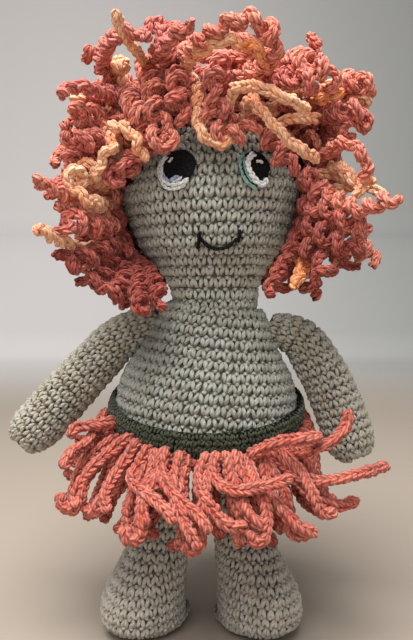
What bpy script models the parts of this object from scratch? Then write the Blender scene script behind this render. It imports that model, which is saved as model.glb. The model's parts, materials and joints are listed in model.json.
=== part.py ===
"""Crocheted amigurumi doll: stuffed head, torso, arms and legs, corded wig and fringe skirt.

Metres, +Z up. The doll faces -Y, so its own left is +X. Everything hangs on the empty "doll",
which puts the origin on the floor under the middle of the doll's box.
"""
import math

import bmesh
import bpy
from mathutils import Matrix, Vector

MM = 0.001
LEFT = 1
RIGHT = -1

# Where the doll stands: from the origin to the floor below the middle of its belly
DOLL_X = 4.5 * MM
DOLL_Y = -9.0 * MM

# Clearances
GAP = 0.3 * MM
JOINT_GAP = 0.5 * MM
SOCKET_GAP = 0.8 * MM
STUFFING_GAP = 0.6 * MM
WELD = 0.00001
OVERRUN = 12 * MM

# Crochet walls
BODY_WALL = 3.0 * MM
ARM_WALL = 2.2 * MM

# Torso: a round belly under sloping shoulders, leaning a little to the doll's left
BELLY_HEIGHT = 104 * MM
BELLY_RADIUS = 45 * MM
TORSO_LEAN = math.radians(4.4)
SHOULDER_TOP = 26 * MM
SEAT_DROP = 25.5 * MM
BELLY_EDGE_DROP = 19 * MM
TORSO_SIDES = 16
TORSO_STEPS = 5
# Shoulder slope from the neck's rim down to the belly: share of the way out, share of the way down
SHOULDER_SHARES = ((0.2, 0.1), (0.38, 0.26), (0.57, 0.52), (0.77, 0.78))
# Underside from the belly's edge to its middle: share of the edge radius, share of the drop left
SEAT_SHARES = ((0.9, 0.62), (0.66, 0.93))

# Neck: the head ends in a ball that sits in a dish in the torso's top
NECK_RISE = 56 * MM
NECK_BALL_RADIUS = 21.5 * MM
NECK_RIM_DROP = 4 * MM
NECK_HOLE_ANGLE = math.radians(39)
NECK_HOLE_RADIUS = 7.5 * MM
NECK_STEPS = 4
PLUG_BALL_RADIUS = 8 * MM
PLUG_STEM_RADIUS = 6 * MM
PLUG_LENGTH = 30 * MM
PLUG_SIDES = 10

# Head: a sphere above the eyes, drawn in to the neck below them
HEAD_RADIUS = 43.8 * MM
HEAD_RISE = 46 * MM
HEAD_LEAN = math.radians(-2.6)
HEAD_TURN = math.radians(3.8)
HEAD_SIDES = 16
HEAD_STEPS = 5
# Cheeks from the widest row to the neck: share of the way in, share of the way down
CHEEK_SHARES = ((0.16, 0.24), (0.36, 0.48), (0.59, 0.63), (0.83, 0.79), (0.96, 0.93))

# Sockets for the hips and shoulders
SOCKET_SIDES = 16
SOCKET_RINGS = 10

# Legs
HIP_DROP = 27.5 * MM
HIP_SPREAD = 20 * MM
HIP_MIDDLE = -2.5 * MM
HIP_BALL_RADIUS = 15 * MM
HIP_HOLE_ANGLE = math.radians(58)
LEG_RADIUS = 14.3 * MM
FOOT_HALF_WIDTH = 20 * MM
FOOT_HALF_LENGTH = 26.5 * MM
FOOT_FORWARD = 9 * MM
FOOT_OUT = 5.5 * MM
FOOT_SPLAY = math.radians(18)
LEG_SIDES = 14
# From the sole up to the hip: share of the hip's height, share of the swell into the foot
LEG_SHARES = ((0.0, 0.66), (0.045, 0.93), (0.13, 1.0), (0.22, 0.91), (0.32, 0.64), (0.43, 0.32),
              (0.56, 0.08), (0.74, 0.0), (0.9, 0.02))

# Arms
SHOULDER_REACH = 33 * MM
SHOULDER_HEIGHT = 41 * MM
ARM_BALL_RADIUS = 5.2 * MM
ARM_RADIUS = 12.8 * MM
ARM_SIDES = 12
STITCH_RING_RADIUS = 6.6 * MM
STITCH_THICKNESS = 1.4 * MM
# Each spine from the shoulder, sideways and down
RIGHT_ARM_REACH = 64 * MM
RIGHT_ARM_DROP = 62 * MM
LEFT_ARM_REACH = 40 * MM
LEFT_ARM_DROP = 65 * MM
ARM_FORWARD = 3 * MM
SPINE_STEPS = 60
ARM_BALL_ANGLE = math.radians(62)
RIGHT_ARM_SHARES = ((0.0, 0.0), (0.2, 0.13), (0.38, 0.31), (0.58, 0.54), (0.79, 0.79), (1.0, 1.0))
LEFT_ARM_SHARES = ((0.0, 0.0), (0.27, 0.07), (0.55, 0.3), (0.69, 0.457), (0.82, 0.643), (0.925, 0.827),
                   (1.0, 1.0))
# Along the arm: share of its length, share of its full radius
ARM_GIRTH_SHARES = ((0.045, 0.37), (0.1, 0.45), (0.2, 0.62), (0.34, 0.84), (0.52, 0.93), (0.72, 1.0),
                    (0.86, 0.98), (0.94, 0.78), (0.985, 0.46))

# Waistband, on a plane that dips at the front
BAND_TILT = math.radians(12.5)
BAND_RISE = 1.25 * MM
BAND_HEIGHT = 10.5 * MM
BAND_THICKNESS = 2.0 * MM
BAND_EDGE = 0.7 * MM
BAND_SIDES = 30

# Fringe: cords that spring from a hem cord under the band
CORD_RADIUS = 3.1 * MM
HEM_RADIUS = 2.2 * MM
FRINGE_GROUPS = 12
GROUP_STRIPS = 3
HEM_GAP = 2.4 * MM
HEM_STEPS = 4
STRIP_REACH = 27 * MM
STRIP_DROP = 26 * MM
STRIP_POINTS = 5
# Round the skirt from the front towards the doll's left: share of the reach, share of the drop
FRINGE_SHARES = ((0.95, 1.05), (0.8, 0.9), (1.05, 1.0), (0.85, 1.1), (1.1, 0.75), (0.7, 1.0),
                 (0.42, 0.95), (0.28, 1.05), (0.24, 0.95), (0.24, 1.1), (0.26, 0.95), (0.28, 1.05),
                 (0.34, 0.8), (0.7, 0.95), (0.85, 0.75), (1.05, 1.0), (0.9, 0.85), (1.1, 0.95),
                 (0.9, 1.05), (1.05, 0.8), (0.85, 1.0), (1.1, 0.9), (0.95, 0.75), (0.7, 1.0),
                 (0.5, 0.9), (0.35, 1.05), (0.3, 0.95), (0.28, 1.1), (0.35, 1.0), (0.6, 0.85),
                 (0.85, 1.05), (1.05, 0.8), (0.9, 0.95), (0.8, 1.1), (1.1, 0.85), (0.85, 1.0))
STRIP_SWAY = math.radians(2.2)
# The last bit of any cord is drawn together: share of its radius at the tip
TIP_SHARE = 0.62

# Wig cap and its face opening
CAP_WALL = 2.2 * MM
CAP_DEPTH = 30 * MM
FACE_HALF_WIDTH = 40 * MM
FACE_HALF_HEIGHT = 52 * MM
FACE_DROP = 21 * MM
FACE_BACK = 3 * MM

# Hair: each cord is sewn down at its middle and both its ends stand out
HAIR_CORD_RADIUS = 3.0 * MM
HAIR_CURL_RADIUS = 6.2 * MM
CURL_CORD_RADIUS = 2.6 * MM
HAIR_REACH = 80 * MM
CURL_SWING = 3.3 * MM
CURL_PITCH = 12 * MM
CURL_POINTS = 8
HAIR_DROOP = math.radians(9)
HAIR_WAVE = math.radians(4)
HAIR_WAVE_HALVES = 1.4
PLAIN_POINTS = 6
# Rings of cord ends in degrees: name, elevation, azimuths from the front towards the doll's left
HAIR_RING_ANGLES = (
    ("crown", 76, (45, 135, 225, 315)),
    ("top", 54, (22, 67, 112, 157, 202, 247, 292, 338)),
    ("upper", 33, (48, 75, 107, 139, 170, 190, 221, 253, 285, 312)),
    ("middle", 8, (67, 93, 119, 145, 170, 190, 215, 241, 267, 293)),
    ("lower", -15, (88, 114, 140, 166, 194, 220, 246, 272)),
    ("nape", -36, (107, 136, 165, 195, 224, 253)),
)
# How far each end of a ring stands out: share of the hair's reach
HAIR_REACH_SHARES = {
    "crown": (1.16, 1.1, 1.14, 1.2),
    "top": (1.12, 1.1, 1.04, 1.0, 1.0, 1.04, 1.12, 1.12),
    "upper": (0.84, 1.06, 1.02, 0.98, 0.96, 0.96, 0.98, 0.96, 0.98, 0.84),
    "middle": (0.92, 1.06, 1.02, 0.98, 0.94, 0.94, 0.96, 0.96, 0.94, 0.88),
    "lower": (1.06, 1.0, 0.96, 0.92, 0.92, 0.94, 0.96, 0.92),
    "nape": (0.9, 0.86, 0.84, 0.84, 0.86, 0.9),
}
CURLED_LOCKS = ("top_1", "top_4", "upper_2", "lower_1")
PEACH_LOCKS = ("upper_1", "middle_1", "lower_3")

# Face
EYE_SPREAD = math.radians(21.4)
EYE_RISE = 8.8 * MM
EYE_UNEVEN = 0.9 * MM
EYE_RADIUS = 7.2 * MM
EYE_THICKNESS = 1.8 * MM
EYE_EDGE = 0.5 * MM
THREAD_RADIUS = 0.8 * MM
CRESCENT_GAP = 0.5 * MM
OVERLAID_INSET = 1.2 * MM
# Where each crescent starts and ends round the eye, from the doll's left over the top, in degrees;
# the doll's left eye has its white one over the disc and its aqua one round it
WHITE_ANGLES = (130, 300)
AQUA_ANGLES = (140, 290)
CRESCENT_STEPS = 7
GLINT_LENGTH = 3.2 * MM
GLINT_RISE = 3 * MM
SMILE_HALF_WIDTH = 9.6 * MM
SMILE_DROP = 20.5 * MM
SMILE_DIP = 4.2 * MM
TICK_HALF_LENGTH = 3 * MM
SMILE_POINTS = 9

COLOURS = {
    "grey_beige_yarn": (0.36, 0.33, 0.27, 1),
    "coral_yarn": (0.58, 0.13, 0.09, 1),
    "peach_yarn": (0.83, 0.48, 0.24, 1),
    "olive_yarn": (0.045, 0.053, 0.021, 1),
    "black_yarn": (0.006, 0.006, 0.006, 1),
    "white_thread": (0.8, 0.8, 0.77, 1),
    "aqua_thread": (0.21, 0.38, 0.31, 1),
    "fibre_stuffing": (0.85, 0.85, 0.83, 1),
}


def clear_scene():
    for item in list(bpy.data.objects):
        bpy.data.objects.remove(item, do_unlink=True)


def collection(name):
    found = bpy.data.collections.get(name) or bpy.data.collections.new(name)
    if name not in bpy.context.scene.collection.children:
        bpy.context.scene.collection.children.link(found)
    return found


def material(name):
    found = bpy.data.materials.get(name)
    if found is None:
        found = bpy.data.materials.new(name)
        found.use_nodes = True
        shader = found.node_tree.nodes["Principled BSDF"]
        shader.inputs["Base Color"].default_value = COLOURS[name]
        shader.inputs["Roughness"].default_value = 0.9
        shader.inputs["Metallic"].default_value = 0.0
    return found


def smooth(mesh):
    mesh.shade_smooth()
    mesh.set_sharp_from_angle(angle=math.radians(60))


def add_object(name, data, place, colour=None):
    """Link an object under the doll's empty; without a colour it is a cutter."""
    item = bpy.data.objects.new(name, data)
    (PARTS if colour else CUTTERS).objects.link(item)
    item.parent = DOLL
    item.matrix_local = place
    if colour:
        data.materials.append(material(colour))
    else:
        item.hide_render = True
        item.display_type = "WIRE"
    return item


def turned(name, profile, sides, place, colour=None):
    """Solid of revolution; the profile's outer side runs from top to bottom."""
    mesh = bpy.data.meshes.new(name)
    points = [(radius, 0, height) for radius, height in profile]
    mesh.from_pydata(points, [(i, i + 1) for i in range(len(points) - 1)], [])
    item = add_object(name, mesh, place, colour)
    screw = item.modifiers.new("turn", "SCREW")
    screw.axis = "Z"
    screw.steps = screw.render_steps = sides
    screw.use_merge_vertices = True
    screw.merge_threshold = WELD
    screw.use_smooth_shade = True
    return item


def loft(name, rings, place, colour):
    """Closed skin through rings of equal count, capped at the first and the last."""
    shape = bmesh.new()
    loops = [[shape.verts.new(point) for point in ring] for ring in rings]
    count = len(rings[0])
    for low, high in zip(loops, loops[1:]):
        for i in range(count):
            j = (i + 1) % count
            shape.faces.new((low[i], low[j], high[j], high[i]))
    shape.faces.new(loops[0])
    shape.faces.new(loops[-1])
    bmesh.ops.recalc_face_normals(shape, faces=shape.faces)
    mesh = bpy.data.meshes.new(name)
    shape.to_mesh(mesh)
    shape.free()
    smooth(mesh)
    return add_object(name, mesh, place, colour)


def cord(name, points, radii, place, colour, resolution=1):
    """Tube along points, each with its own radius, as one mesh with welded caps."""
    curve = bpy.data.curves.new(name, "CURVE")
    curve.dimensions = "3D"
    curve.bevel_depth = max(radii)
    curve.bevel_resolution = resolution
    curve.use_fill_caps = True
    spline = curve.splines.new("POLY")
    spline.points.add(len(points) - 1)
    for spot, point, radius in zip(spline.points, points, radii):
        spot.co = (*point, 1)
        spot.radius = radius / curve.bevel_depth
    route = bpy.data.objects.new(name + "_route", curve)
    CUTTERS.objects.link(route)
    evaluated = route.evaluated_get(bpy.context.evaluated_depsgraph_get())
    mesh = bpy.data.meshes.new_from_object(evaluated)
    bpy.data.objects.remove(route)
    shape = bmesh.new()
    shape.from_mesh(mesh)
    bmesh.ops.remove_doubles(shape, verts=shape.verts, dist=WELD)
    bmesh.ops.recalc_face_normals(shape, faces=shape.faces)
    shape.to_mesh(mesh)
    shape.free()
    mesh.name = name
    mesh.materials.clear()
    smooth(mesh)
    return add_object(name, mesh, place, colour)


def ball(name, radius, centre):
    """Spherical cutter."""
    shape = bmesh.new()
    bmesh.ops.create_uvsphere(shape, u_segments=SOCKET_SIDES, v_segments=SOCKET_RINGS, radius=radius)
    mesh = bpy.data.meshes.new(name)
    shape.to_mesh(mesh)
    shape.free()
    return add_object(name, mesh, Matrix.Translation(centre))


def combine(item, other, operation):
    boolean = item.modifiers.new(other.name, "BOOLEAN")
    boolean.operation = operation
    boolean.object = other


def arc(radius, centre, start, end, steps):
    """Points (radius, height) of an arc about a point on the axis, from one elevation to another."""
    angles = [start + (end - start) * i / steps for i in range(steps + 1)]
    return [(radius * math.cos(angle), centre + radius * math.sin(angle)) for angle in angles]


def inset(profile, depth):
    """The same profile moved in by a depth, square to itself."""
    moved = []
    for i, (radius, height) in enumerate(profile):
        before = profile[max(i - 1, 0)]
        after = profile[min(i + 1, len(profile) - 1)]
        across = Vector((after[0] - before[0], after[1] - before[1])).normalized()
        moved.append((max(radius + across.y * depth, 0), height - across.x * depth))
    return moved


def head_outline():
    """Head profile below the crown, outer side, from the apex to the hole for the neck's plug."""
    crown = arc(HEAD_RADIUS, HEAD_RISE, math.pi / 2, 0, HEAD_STEPS)
    crown[0] = (0, HEAD_RISE + HEAD_RADIUS)
    cheeks = [(HEAD_RADIUS + (NECK_BALL_RADIUS - HEAD_RADIUS) * way_in, HEAD_RISE * (1 - way_down))
              for way_in, way_down in CHEEK_SHARES]
    throat = arc(NECK_BALL_RADIUS, 0, 0, NECK_HOLE_ANGLE - math.pi / 2, NECK_STEPS)
    return crown + cheeks + throat


def head_reach(elevation):
    """Distance from the middle of the head to its surface in a direction of this elevation."""
    outline = head_outline()
    for (r0, z0), (r1, z1) in zip(outline, outline[1:]):
        start = math.atan2(z0 - HEAD_RISE, r0)
        end = math.atan2(z1 - HEAD_RISE, r1)
        if start >= elevation >= end:
            share = (start - elevation) / (start - end)
            return math.hypot(r0 + (r1 - r0) * share, z0 + (z1 - z0) * share - HEAD_RISE)
    return HEAD_RADIUS


def torso_outline():
    """Torso profile from the neck's hole up the dish, over the rim and down to the seat's middle."""
    dish_radius = NECK_BALL_RADIUS + SOCKET_GAP
    rim = math.asin(-NECK_RIM_DROP / dish_radius)
    hole = -math.acos(NECK_HOLE_RADIUS / dish_radius)
    dish = arc(dish_radius, NECK_RISE, hole, rim, NECK_STEPS)
    rim_radius, rim_height = dish[-1]
    belly_start = math.asin(SHOULDER_TOP / BELLY_RADIUS)
    belly_end = -math.asin(BELLY_EDGE_DROP / BELLY_RADIUS)
    belly = arc(BELLY_RADIUS, 0, belly_start, belly_end, TORSO_STEPS)
    slope = [(rim_radius + (belly[0][0] - rim_radius) * out, rim_height + (belly[0][1] - rim_height) * down)
             for out, down in SHOULDER_SHARES]
    edge_radius, edge_height = belly[-1]
    seat = [(edge_radius * out, edge_height + (-SEAT_DROP - edge_height) * down) for out, down in SEAT_SHARES]
    return dish, slope + belly + seat + [(0, -SEAT_DROP)]


def make_torso():
    dish, outside = torso_outline()
    lip = [(dish[-1][0] + GAP, dish[-1][1])]
    inside = inset(outside, BODY_WALL)
    inside[-1] = (0, outside[-1][1] + BODY_WALL)
    throat = [(radius, height - BODY_WALL) for radius, height in dish[:-1]]
    inside = [point for point in inside if point[1] < throat[-1][1]]
    wall = inside[::-1] + throat[::-1] + dish + lip + outside
    torso = turned("torso", wall, TORSO_SIDES, TORSO, "grey_beige_yarn")

    core = inset(outside, BODY_WALL + STUFFING_GAP)
    core[-1] = (0, outside[-1][1] + BODY_WALL + STUFFING_GAP)
    top = [(radius, height - BODY_WALL - STUFFING_GAP) for radius, height in dish[:-1]]
    core = [point for point in core if point[1] < top[-1][1]]
    bore = PLUG_STEM_RADIUS + JOINT_GAP
    bottom = NECK_RISE - PLUG_LENGTH - JOINT_GAP
    well = [(0, bottom), (bore, bottom)]
    stuffing = turned("torso_stuffing", well + top + core, TORSO_SIDES, TORSO, "fibre_stuffing")
    dimple_radius = STITCH_RING_RADIUS + STITCH_THICKNESS / 2 + SOCKET_GAP
    for side, word in ((LEFT, "left"), (RIGHT, "right")):
        socket = ball(word + "_hip_socket", HIP_BALL_RADIUS + SOCKET_GAP, hip(side))
        dimple = ball(word + "_shoulder_socket", dimple_radius, shoulder(side))
        for item in (torso, stuffing):
            combine(item, socket, "DIFFERENCE")
            combine(item, dimple, "DIFFERENCE")


def make_neck():
    foot = -PLUG_LENGTH
    waist = -math.acos(PLUG_STEM_RADIUS / PLUG_BALL_RADIUS)
    knob = arc(PLUG_BALL_RADIUS, 0, math.pi / 2, waist, NECK_STEPS)
    knob[0] = (0, PLUG_BALL_RADIUS)
    profile = knob + [(PLUG_STEM_RADIUS, foot + JOINT_GAP), (0, foot)]
    turned("neck_stuffing", profile, PLUG_SIDES, NECK, "fibre_stuffing")


def make_head():
    outline = head_outline()
    hole = [(radius * (1 - BODY_WALL / NECK_BALL_RADIUS), height * (1 - BODY_WALL / NECK_BALL_RADIUS))
            for radius, height in outline[-NECK_STEPS - 1:]]
    inner = inset(outline[:-NECK_STEPS - 1], BODY_WALL)
    inner[0] = (0, outline[0][1] - BODY_WALL)
    wall = outline + (inner + hole)[::-1]
    turned("head", wall, HEAD_SIDES, HEAD, "grey_beige_yarn")
    core = inset(outline[:-NECK_STEPS - 1], BODY_WALL + STUFFING_GAP)
    core[0] = (0, outline[0][1] - BODY_WALL - STUFFING_GAP)
    floor = PLUG_BALL_RADIUS + JOINT_GAP
    core = [point for point in core if point[1] > floor + JOINT_GAP]
    edge_radius, edge_height = core[-1]
    core += [(edge_radius - (edge_height - floor), floor), (0, floor)]
    turned("head_stuffing", core, HEAD_SIDES, HEAD, "fibre_stuffing")


def leg_ring(height, radius_x, radius_y, forward, out, side):
    splay = Matrix.Rotation(side * FOOT_SPLAY, 3, "Z")
    ring = []
    for i in range(LEG_SIDES):
        angle = 2 * math.pi * (i + 0.5) / LEG_SIDES
        flat = splay @ Vector((radius_x * math.cos(angle), radius_y * math.sin(angle) - forward, 0))
        ring.append(flat + Vector((side * out, 0, height)))
    return ring


def leg_rings(depth, side):
    """Rings from the sole to the rim of the hole in the hip's ball, moved in by a depth."""
    hip_height = BELLY_HEIGHT - HIP_DROP
    rings = []
    for up, swell in LEG_SHARES:
        across = LEG_RADIUS + (FOOT_HALF_WIDTH - LEG_RADIUS) * swell - depth
        along = LEG_RADIUS + (FOOT_HALF_LENGTH - LEG_RADIUS) * swell - depth
        height = depth + (hip_height - depth) * up
        rings.append(leg_ring(height, across, along, FOOT_FORWARD * swell, FOOT_OUT * swell, side))
    for radius, height in arc(HIP_BALL_RADIUS - depth, hip_height, 0, HIP_HOLE_ANGLE, 3):
        rings.append(leg_ring(height, radius, radius, 0, 0, side))
    return rings


def make_leg(side, word):
    place = Matrix.Translation((hip(side).x, 0, 0))
    wall = leg_rings(0, side) + leg_rings(BODY_WALL, side)[::-1]
    loft(word + "_leg", wall, place, "grey_beige_yarn")
    loft(word + "_leg_stuffing", leg_rings(BODY_WALL + STUFFING_GAP, side), place, "fibre_stuffing")


def smooth_path(points, count):
    """Even points along a smooth curve through the given ones."""
    ends = [points[0] * 2 - points[1]] + list(points) + [points[-1] * 2 - points[-2]]
    fine = []
    for i in range(1, len(ends) - 2):
        a, b, c, d = ends[i - 1:i + 3]
        for step in range(12):
            t = step / 12
            fine.append(0.5 * (2 * b + (c - a) * t + (2 * a - 5 * b + 4 * c - d) * t * t
                               + (3 * b - a - 3 * c + d) * t ** 3))
    fine.append(points[-1])
    lengths = [0]
    for a, b in zip(fine, fine[1:]):
        lengths.append(lengths[-1] + (b - a).length)
    even = []
    for i in range(count):
        want = lengths[-1] * i / (count - 1)
        k = max(j for j, length in enumerate(lengths) if length <= want + WELD)
        k = min(k, len(fine) - 2)
        share = (want - lengths[k]) / (lengths[k + 1] - lengths[k])
        even.append(fine[k].lerp(fine[k + 1], min(max(share, 0), 1)))
    return even


def arm_spine(side):
    reach, drop, shares = ((LEFT_ARM_REACH, LEFT_ARM_DROP, LEFT_ARM_SHARES) if side == LEFT
                           else (RIGHT_ARM_REACH, RIGHT_ARM_DROP, RIGHT_ARM_SHARES))
    points = [Vector((side * reach * out, -ARM_FORWARD * out * out, -drop * down)) for out, down in shares]
    return smooth_path(points, SPINE_STEPS + 1)


def arm_rings(depth, side):
    """Rings square to the spine, from behind the shoulder's ball to the hand, moved in by a depth."""
    spine = arm_spine(side)
    start = (spine[1] - spine[0]).normalized()
    stations = []
    for radius, along in arc(ARM_BALL_RADIUS - depth, 0, -ARM_BALL_ANGLE, 0, 3):
        stations.append((start * along, start, radius))
    for share, girth in ARM_GIRTH_SHARES:
        k = min(int(share * SPINE_STEPS), SPINE_STEPS - 1)
        middle = spine[k].lerp(spine[k + 1], share * SPINE_STEPS - k)
        if share > 0.9:
            middle -= (spine[k + 1] - spine[k]).normalized() * depth * share
        stations.append((middle, (spine[k + 1] - spine[k]).normalized(), ARM_RADIUS * girth - depth))
    rings = []
    for middle, along, radius in stations:
        across = along.cross(Vector((0, 1, 0))).normalized()
        over = across.cross(along)
        turns = [2 * math.pi * i / ARM_SIDES for i in range(ARM_SIDES)]
        rings.append([middle + across * radius * math.cos(a) + over * radius * math.sin(a) for a in turns])
    return rings


def make_arm(side, word):
    place = Matrix.Translation(shoulder(side))
    outer = arm_rings(0, side)
    inner = arm_rings(ARM_WALL, side)
    loft(word + "_arm", outer[::-1] + inner, place, "grey_beige_yarn")
    loft(word + "_arm_stuffing", arm_rings(ARM_WALL + STUFFING_GAP, side), place, "fibre_stuffing")
    spine = arm_spine(side)
    along = (spine[1] - spine[0]).normalized()
    facing = along.to_track_quat("Z", "Y").to_matrix().to_4x4()
    wire = STITCH_THICKNESS / 2
    ring = arc(wire, 0, math.pi, -math.pi, 6)
    profile = [(STITCH_RING_RADIUS + radius, height) for radius, height in ring]
    turned(word + "_shoulder_stitches", profile, ARM_SIDES, place @ facing, "grey_beige_yarn")


def make_band():
    inner = BELLY_RADIUS + GAP
    low = BAND_RISE - BAND_HEIGHT / 2
    high = BAND_RISE + BAND_HEIGHT / 2
    outer = inner + BAND_THICKNESS
    edge = BAND_EDGE
    profile = [(inner, low), (inner, high), (outer - edge, high), (outer, high - edge), (outer, low + edge),
               (outer - edge, low), (inner, low)]
    turned("waistband", profile, BAND_SIDES, SKIRT, "olive_yarn")


def make_fringe():
    """Groups of cords, each group on its own length of hem cord just below the band."""
    hem_radius = BELLY_RADIUS + GAP + HEM_RADIUS + JOINT_GAP
    hem_height = BAND_RISE - BAND_HEIGHT / 2 - GAP - HEM_RADIUS
    step = 2 * math.pi / (FRINGE_GROUPS * GROUP_STRIPS)
    for group in range(FRINGE_GROUPS):
        start = (group * GROUP_STRIPS - 0.5) * step + HEM_GAP / hem_radius / 2
        end = ((group + 1) * GROUP_STRIPS - 0.5) * step - HEM_GAP / hem_radius / 2
        turns = [start + (end - start) * i / HEM_STEPS for i in range(HEM_STEPS + 1)]
        lift = Vector((0, 0, hem_height))
        hem_points = [direction(turn, 0) * hem_radius + lift for turn in turns]
        name = "fringe_%02d" % (group + 1)
        hem = cord(name, hem_points, [HEM_RADIUS] * len(turns), SKIRT, "coral_yarn")
        for strip in range(GROUP_STRIPS):
            index = group * GROUP_STRIPS + strip
            out_share, drop_share = FRINGE_SHARES[index]
            sway = STRIP_SWAY * (1 if index % 2 else -1)
            points = []
            for i in range(STRIP_POINTS):
                t = i / (STRIP_POINTS - 1)
                angle = index * step + sway * t * t
                radius = hem_radius + STRIP_REACH * out_share * math.sin(t * math.pi / 2)
                height = hem_height - STRIP_DROP * drop_share * t ** 1.5
                points.append(Vector((radius * math.sin(angle), -radius * math.cos(angle), height)))
            radii = [CORD_RADIUS] * (STRIP_POINTS - 1) + [CORD_RADIUS * TIP_SHARE]
            piece = cord("%s_strip_%d" % (name, strip + 1), points, radii, SKIRT, None)
            combine(hem, piece, "UNION")


def make_cap():
    outline = [point for point in head_outline() if point[1] > HEAD_RISE - CAP_DEPTH]
    outer = inset(outline, -GAP - CAP_WALL)
    outer[0] = (0, outline[0][1] + GAP + CAP_WALL)
    inner = inset(outline, -GAP)
    inner[0] = (0, outline[0][1] + GAP)
    cap = turned("wig_cap", outer + inner[::-1], HEAD_SIDES, HEAD, "coral_yarn")
    shape = bmesh.new()
    length = HEAD_RADIUS + OVERRUN
    bmesh.ops.create_cone(shape, segments=24, radius1=1, radius2=1, depth=1, cap_ends=True)
    stretch = Matrix.Diagonal((FACE_HALF_WIDTH, length, FACE_HALF_HEIGHT, 1))
    middle = Matrix.Translation((0, -FACE_BACK - length / 2, HEAD_RISE - FACE_DROP))
    level = Matrix.Rotation(math.pi / 2, 4, "X")
    bmesh.ops.transform(shape, matrix=middle @ stretch @ level, verts=shape.verts)
    mesh = bpy.data.meshes.new("face_opening")
    shape.to_mesh(mesh)
    shape.free()
    window = add_object("face_opening", mesh, HEAD)
    combine(cap, window, "DIFFERENCE")


def direction(azimuth, elevation):
    flat = math.cos(elevation)
    return Vector((math.sin(azimuth) * flat, -math.cos(azimuth) * flat, math.sin(elevation)))


def strand(azimuth, elevation, reach, curled, full, wave):
    """Points and radii of one end of a hair cord, from its root to its tip."""
    middle = Vector((0, 0, HEAD_RISE))
    root = head_reach(elevation) + 2 * GAP + CAP_WALL + HAIR_CORD_RADIUS
    count = PLAIN_POINTS
    if curled:
        count = int(CURL_POINTS * (reach - root) / CURL_PITCH)
    points, radii = [], []
    for i in range(1, count + 1):
        t = i / count
        along = root + (reach - root) * t
        tilt = elevation - HAIR_DROOP * t * t * math.cos(elevation)
        turn = azimuth + wave * math.sin(HAIR_WAVE_HALVES * math.pi * t)
        spot = middle + direction(turn, tilt) * along
        if curled:
            phase = 2 * math.pi * (along - root) / CURL_PITCH
            east = Vector((math.cos(turn), math.sin(turn), 0))
            north = direction(turn, tilt + math.pi / 2)
            swing = CURL_SWING * min(1, 3 * t)
            spot += (east * math.cos(phase) + north * math.sin(phase)) * swing
            radii.append(CURL_CORD_RADIUS)
        else:
            swell = min(1, 3 * t, 3.4 - 3 * t)
            radii.append(HAIR_CORD_RADIUS + (full - HAIR_CORD_RADIUS) * swell)
        points.append(spot)
    radii[-1] *= TIP_SHARE
    return points, radii


def make_hair():
    for ring, tilt, azimuths in HAIR_RING_ANGLES:
        elevation = math.radians(tilt)
        reaches = HAIR_REACH_SHARES[ring]
        for pair in range(len(azimuths) // 2):
            lock = "%s_%d" % (ring, pair + 1)
            curled = lock in CURLED_LOCKS
            peach = lock in PEACH_LOCKS
            ends = []
            for k in (2 * pair, 2 * pair + 1):
                wave = HAIR_WAVE * (1 if k % 2 else -1)
                full = HAIR_CORD_RADIUS if peach else HAIR_CURL_RADIUS
                azimuth = math.radians(azimuths[k])
                ends.append(strand(azimuth, elevation, HAIR_REACH * reaches[k], curled, full, wave))
            root = head_reach(elevation) + 2 * GAP + CAP_WALL + HAIR_CORD_RADIUS
            turns = [math.radians(azimuths[2 * pair] + (azimuths[2 * pair + 1] - azimuths[2 * pair]) * share)
                     for share in (0, 0.5, 1)]
            seam = [Vector((0, 0, HEAD_RISE)) + direction(turn, elevation) * root for turn in turns]
            points = ends[0][0][::-1] + seam + ends[1][0]
            radii = ends[0][1][::-1] + [HAIR_CORD_RADIUS] * len(seam) + ends[1][1]
            cord("hair_" + lock, points, radii, HEAD, "peach_yarn" if peach else "coral_yarn")


def on_face(azimuth, height, lift):
    """Point on the head's surface at a height above its middle, and the way out of the surface."""
    outline = head_outline()
    for (r0, z0), (r1, z1) in zip(outline, outline[1:]):
        if z0 - HEAD_RISE >= height >= z1 - HEAD_RISE:
            share = (z0 - HEAD_RISE - height) / (z0 - z1)
            radius = r0 + (r1 - r0) * share
            slope = Vector((z0 - z1, r1 - r0)).normalized()
            outward = direction(azimuth, math.atan2(slope.y, slope.x))
            break
    spot = Vector((radius * math.sin(azimuth), -radius * math.cos(azimuth), HEAD_RISE + height))
    return spot + outward * lift, outward


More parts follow.
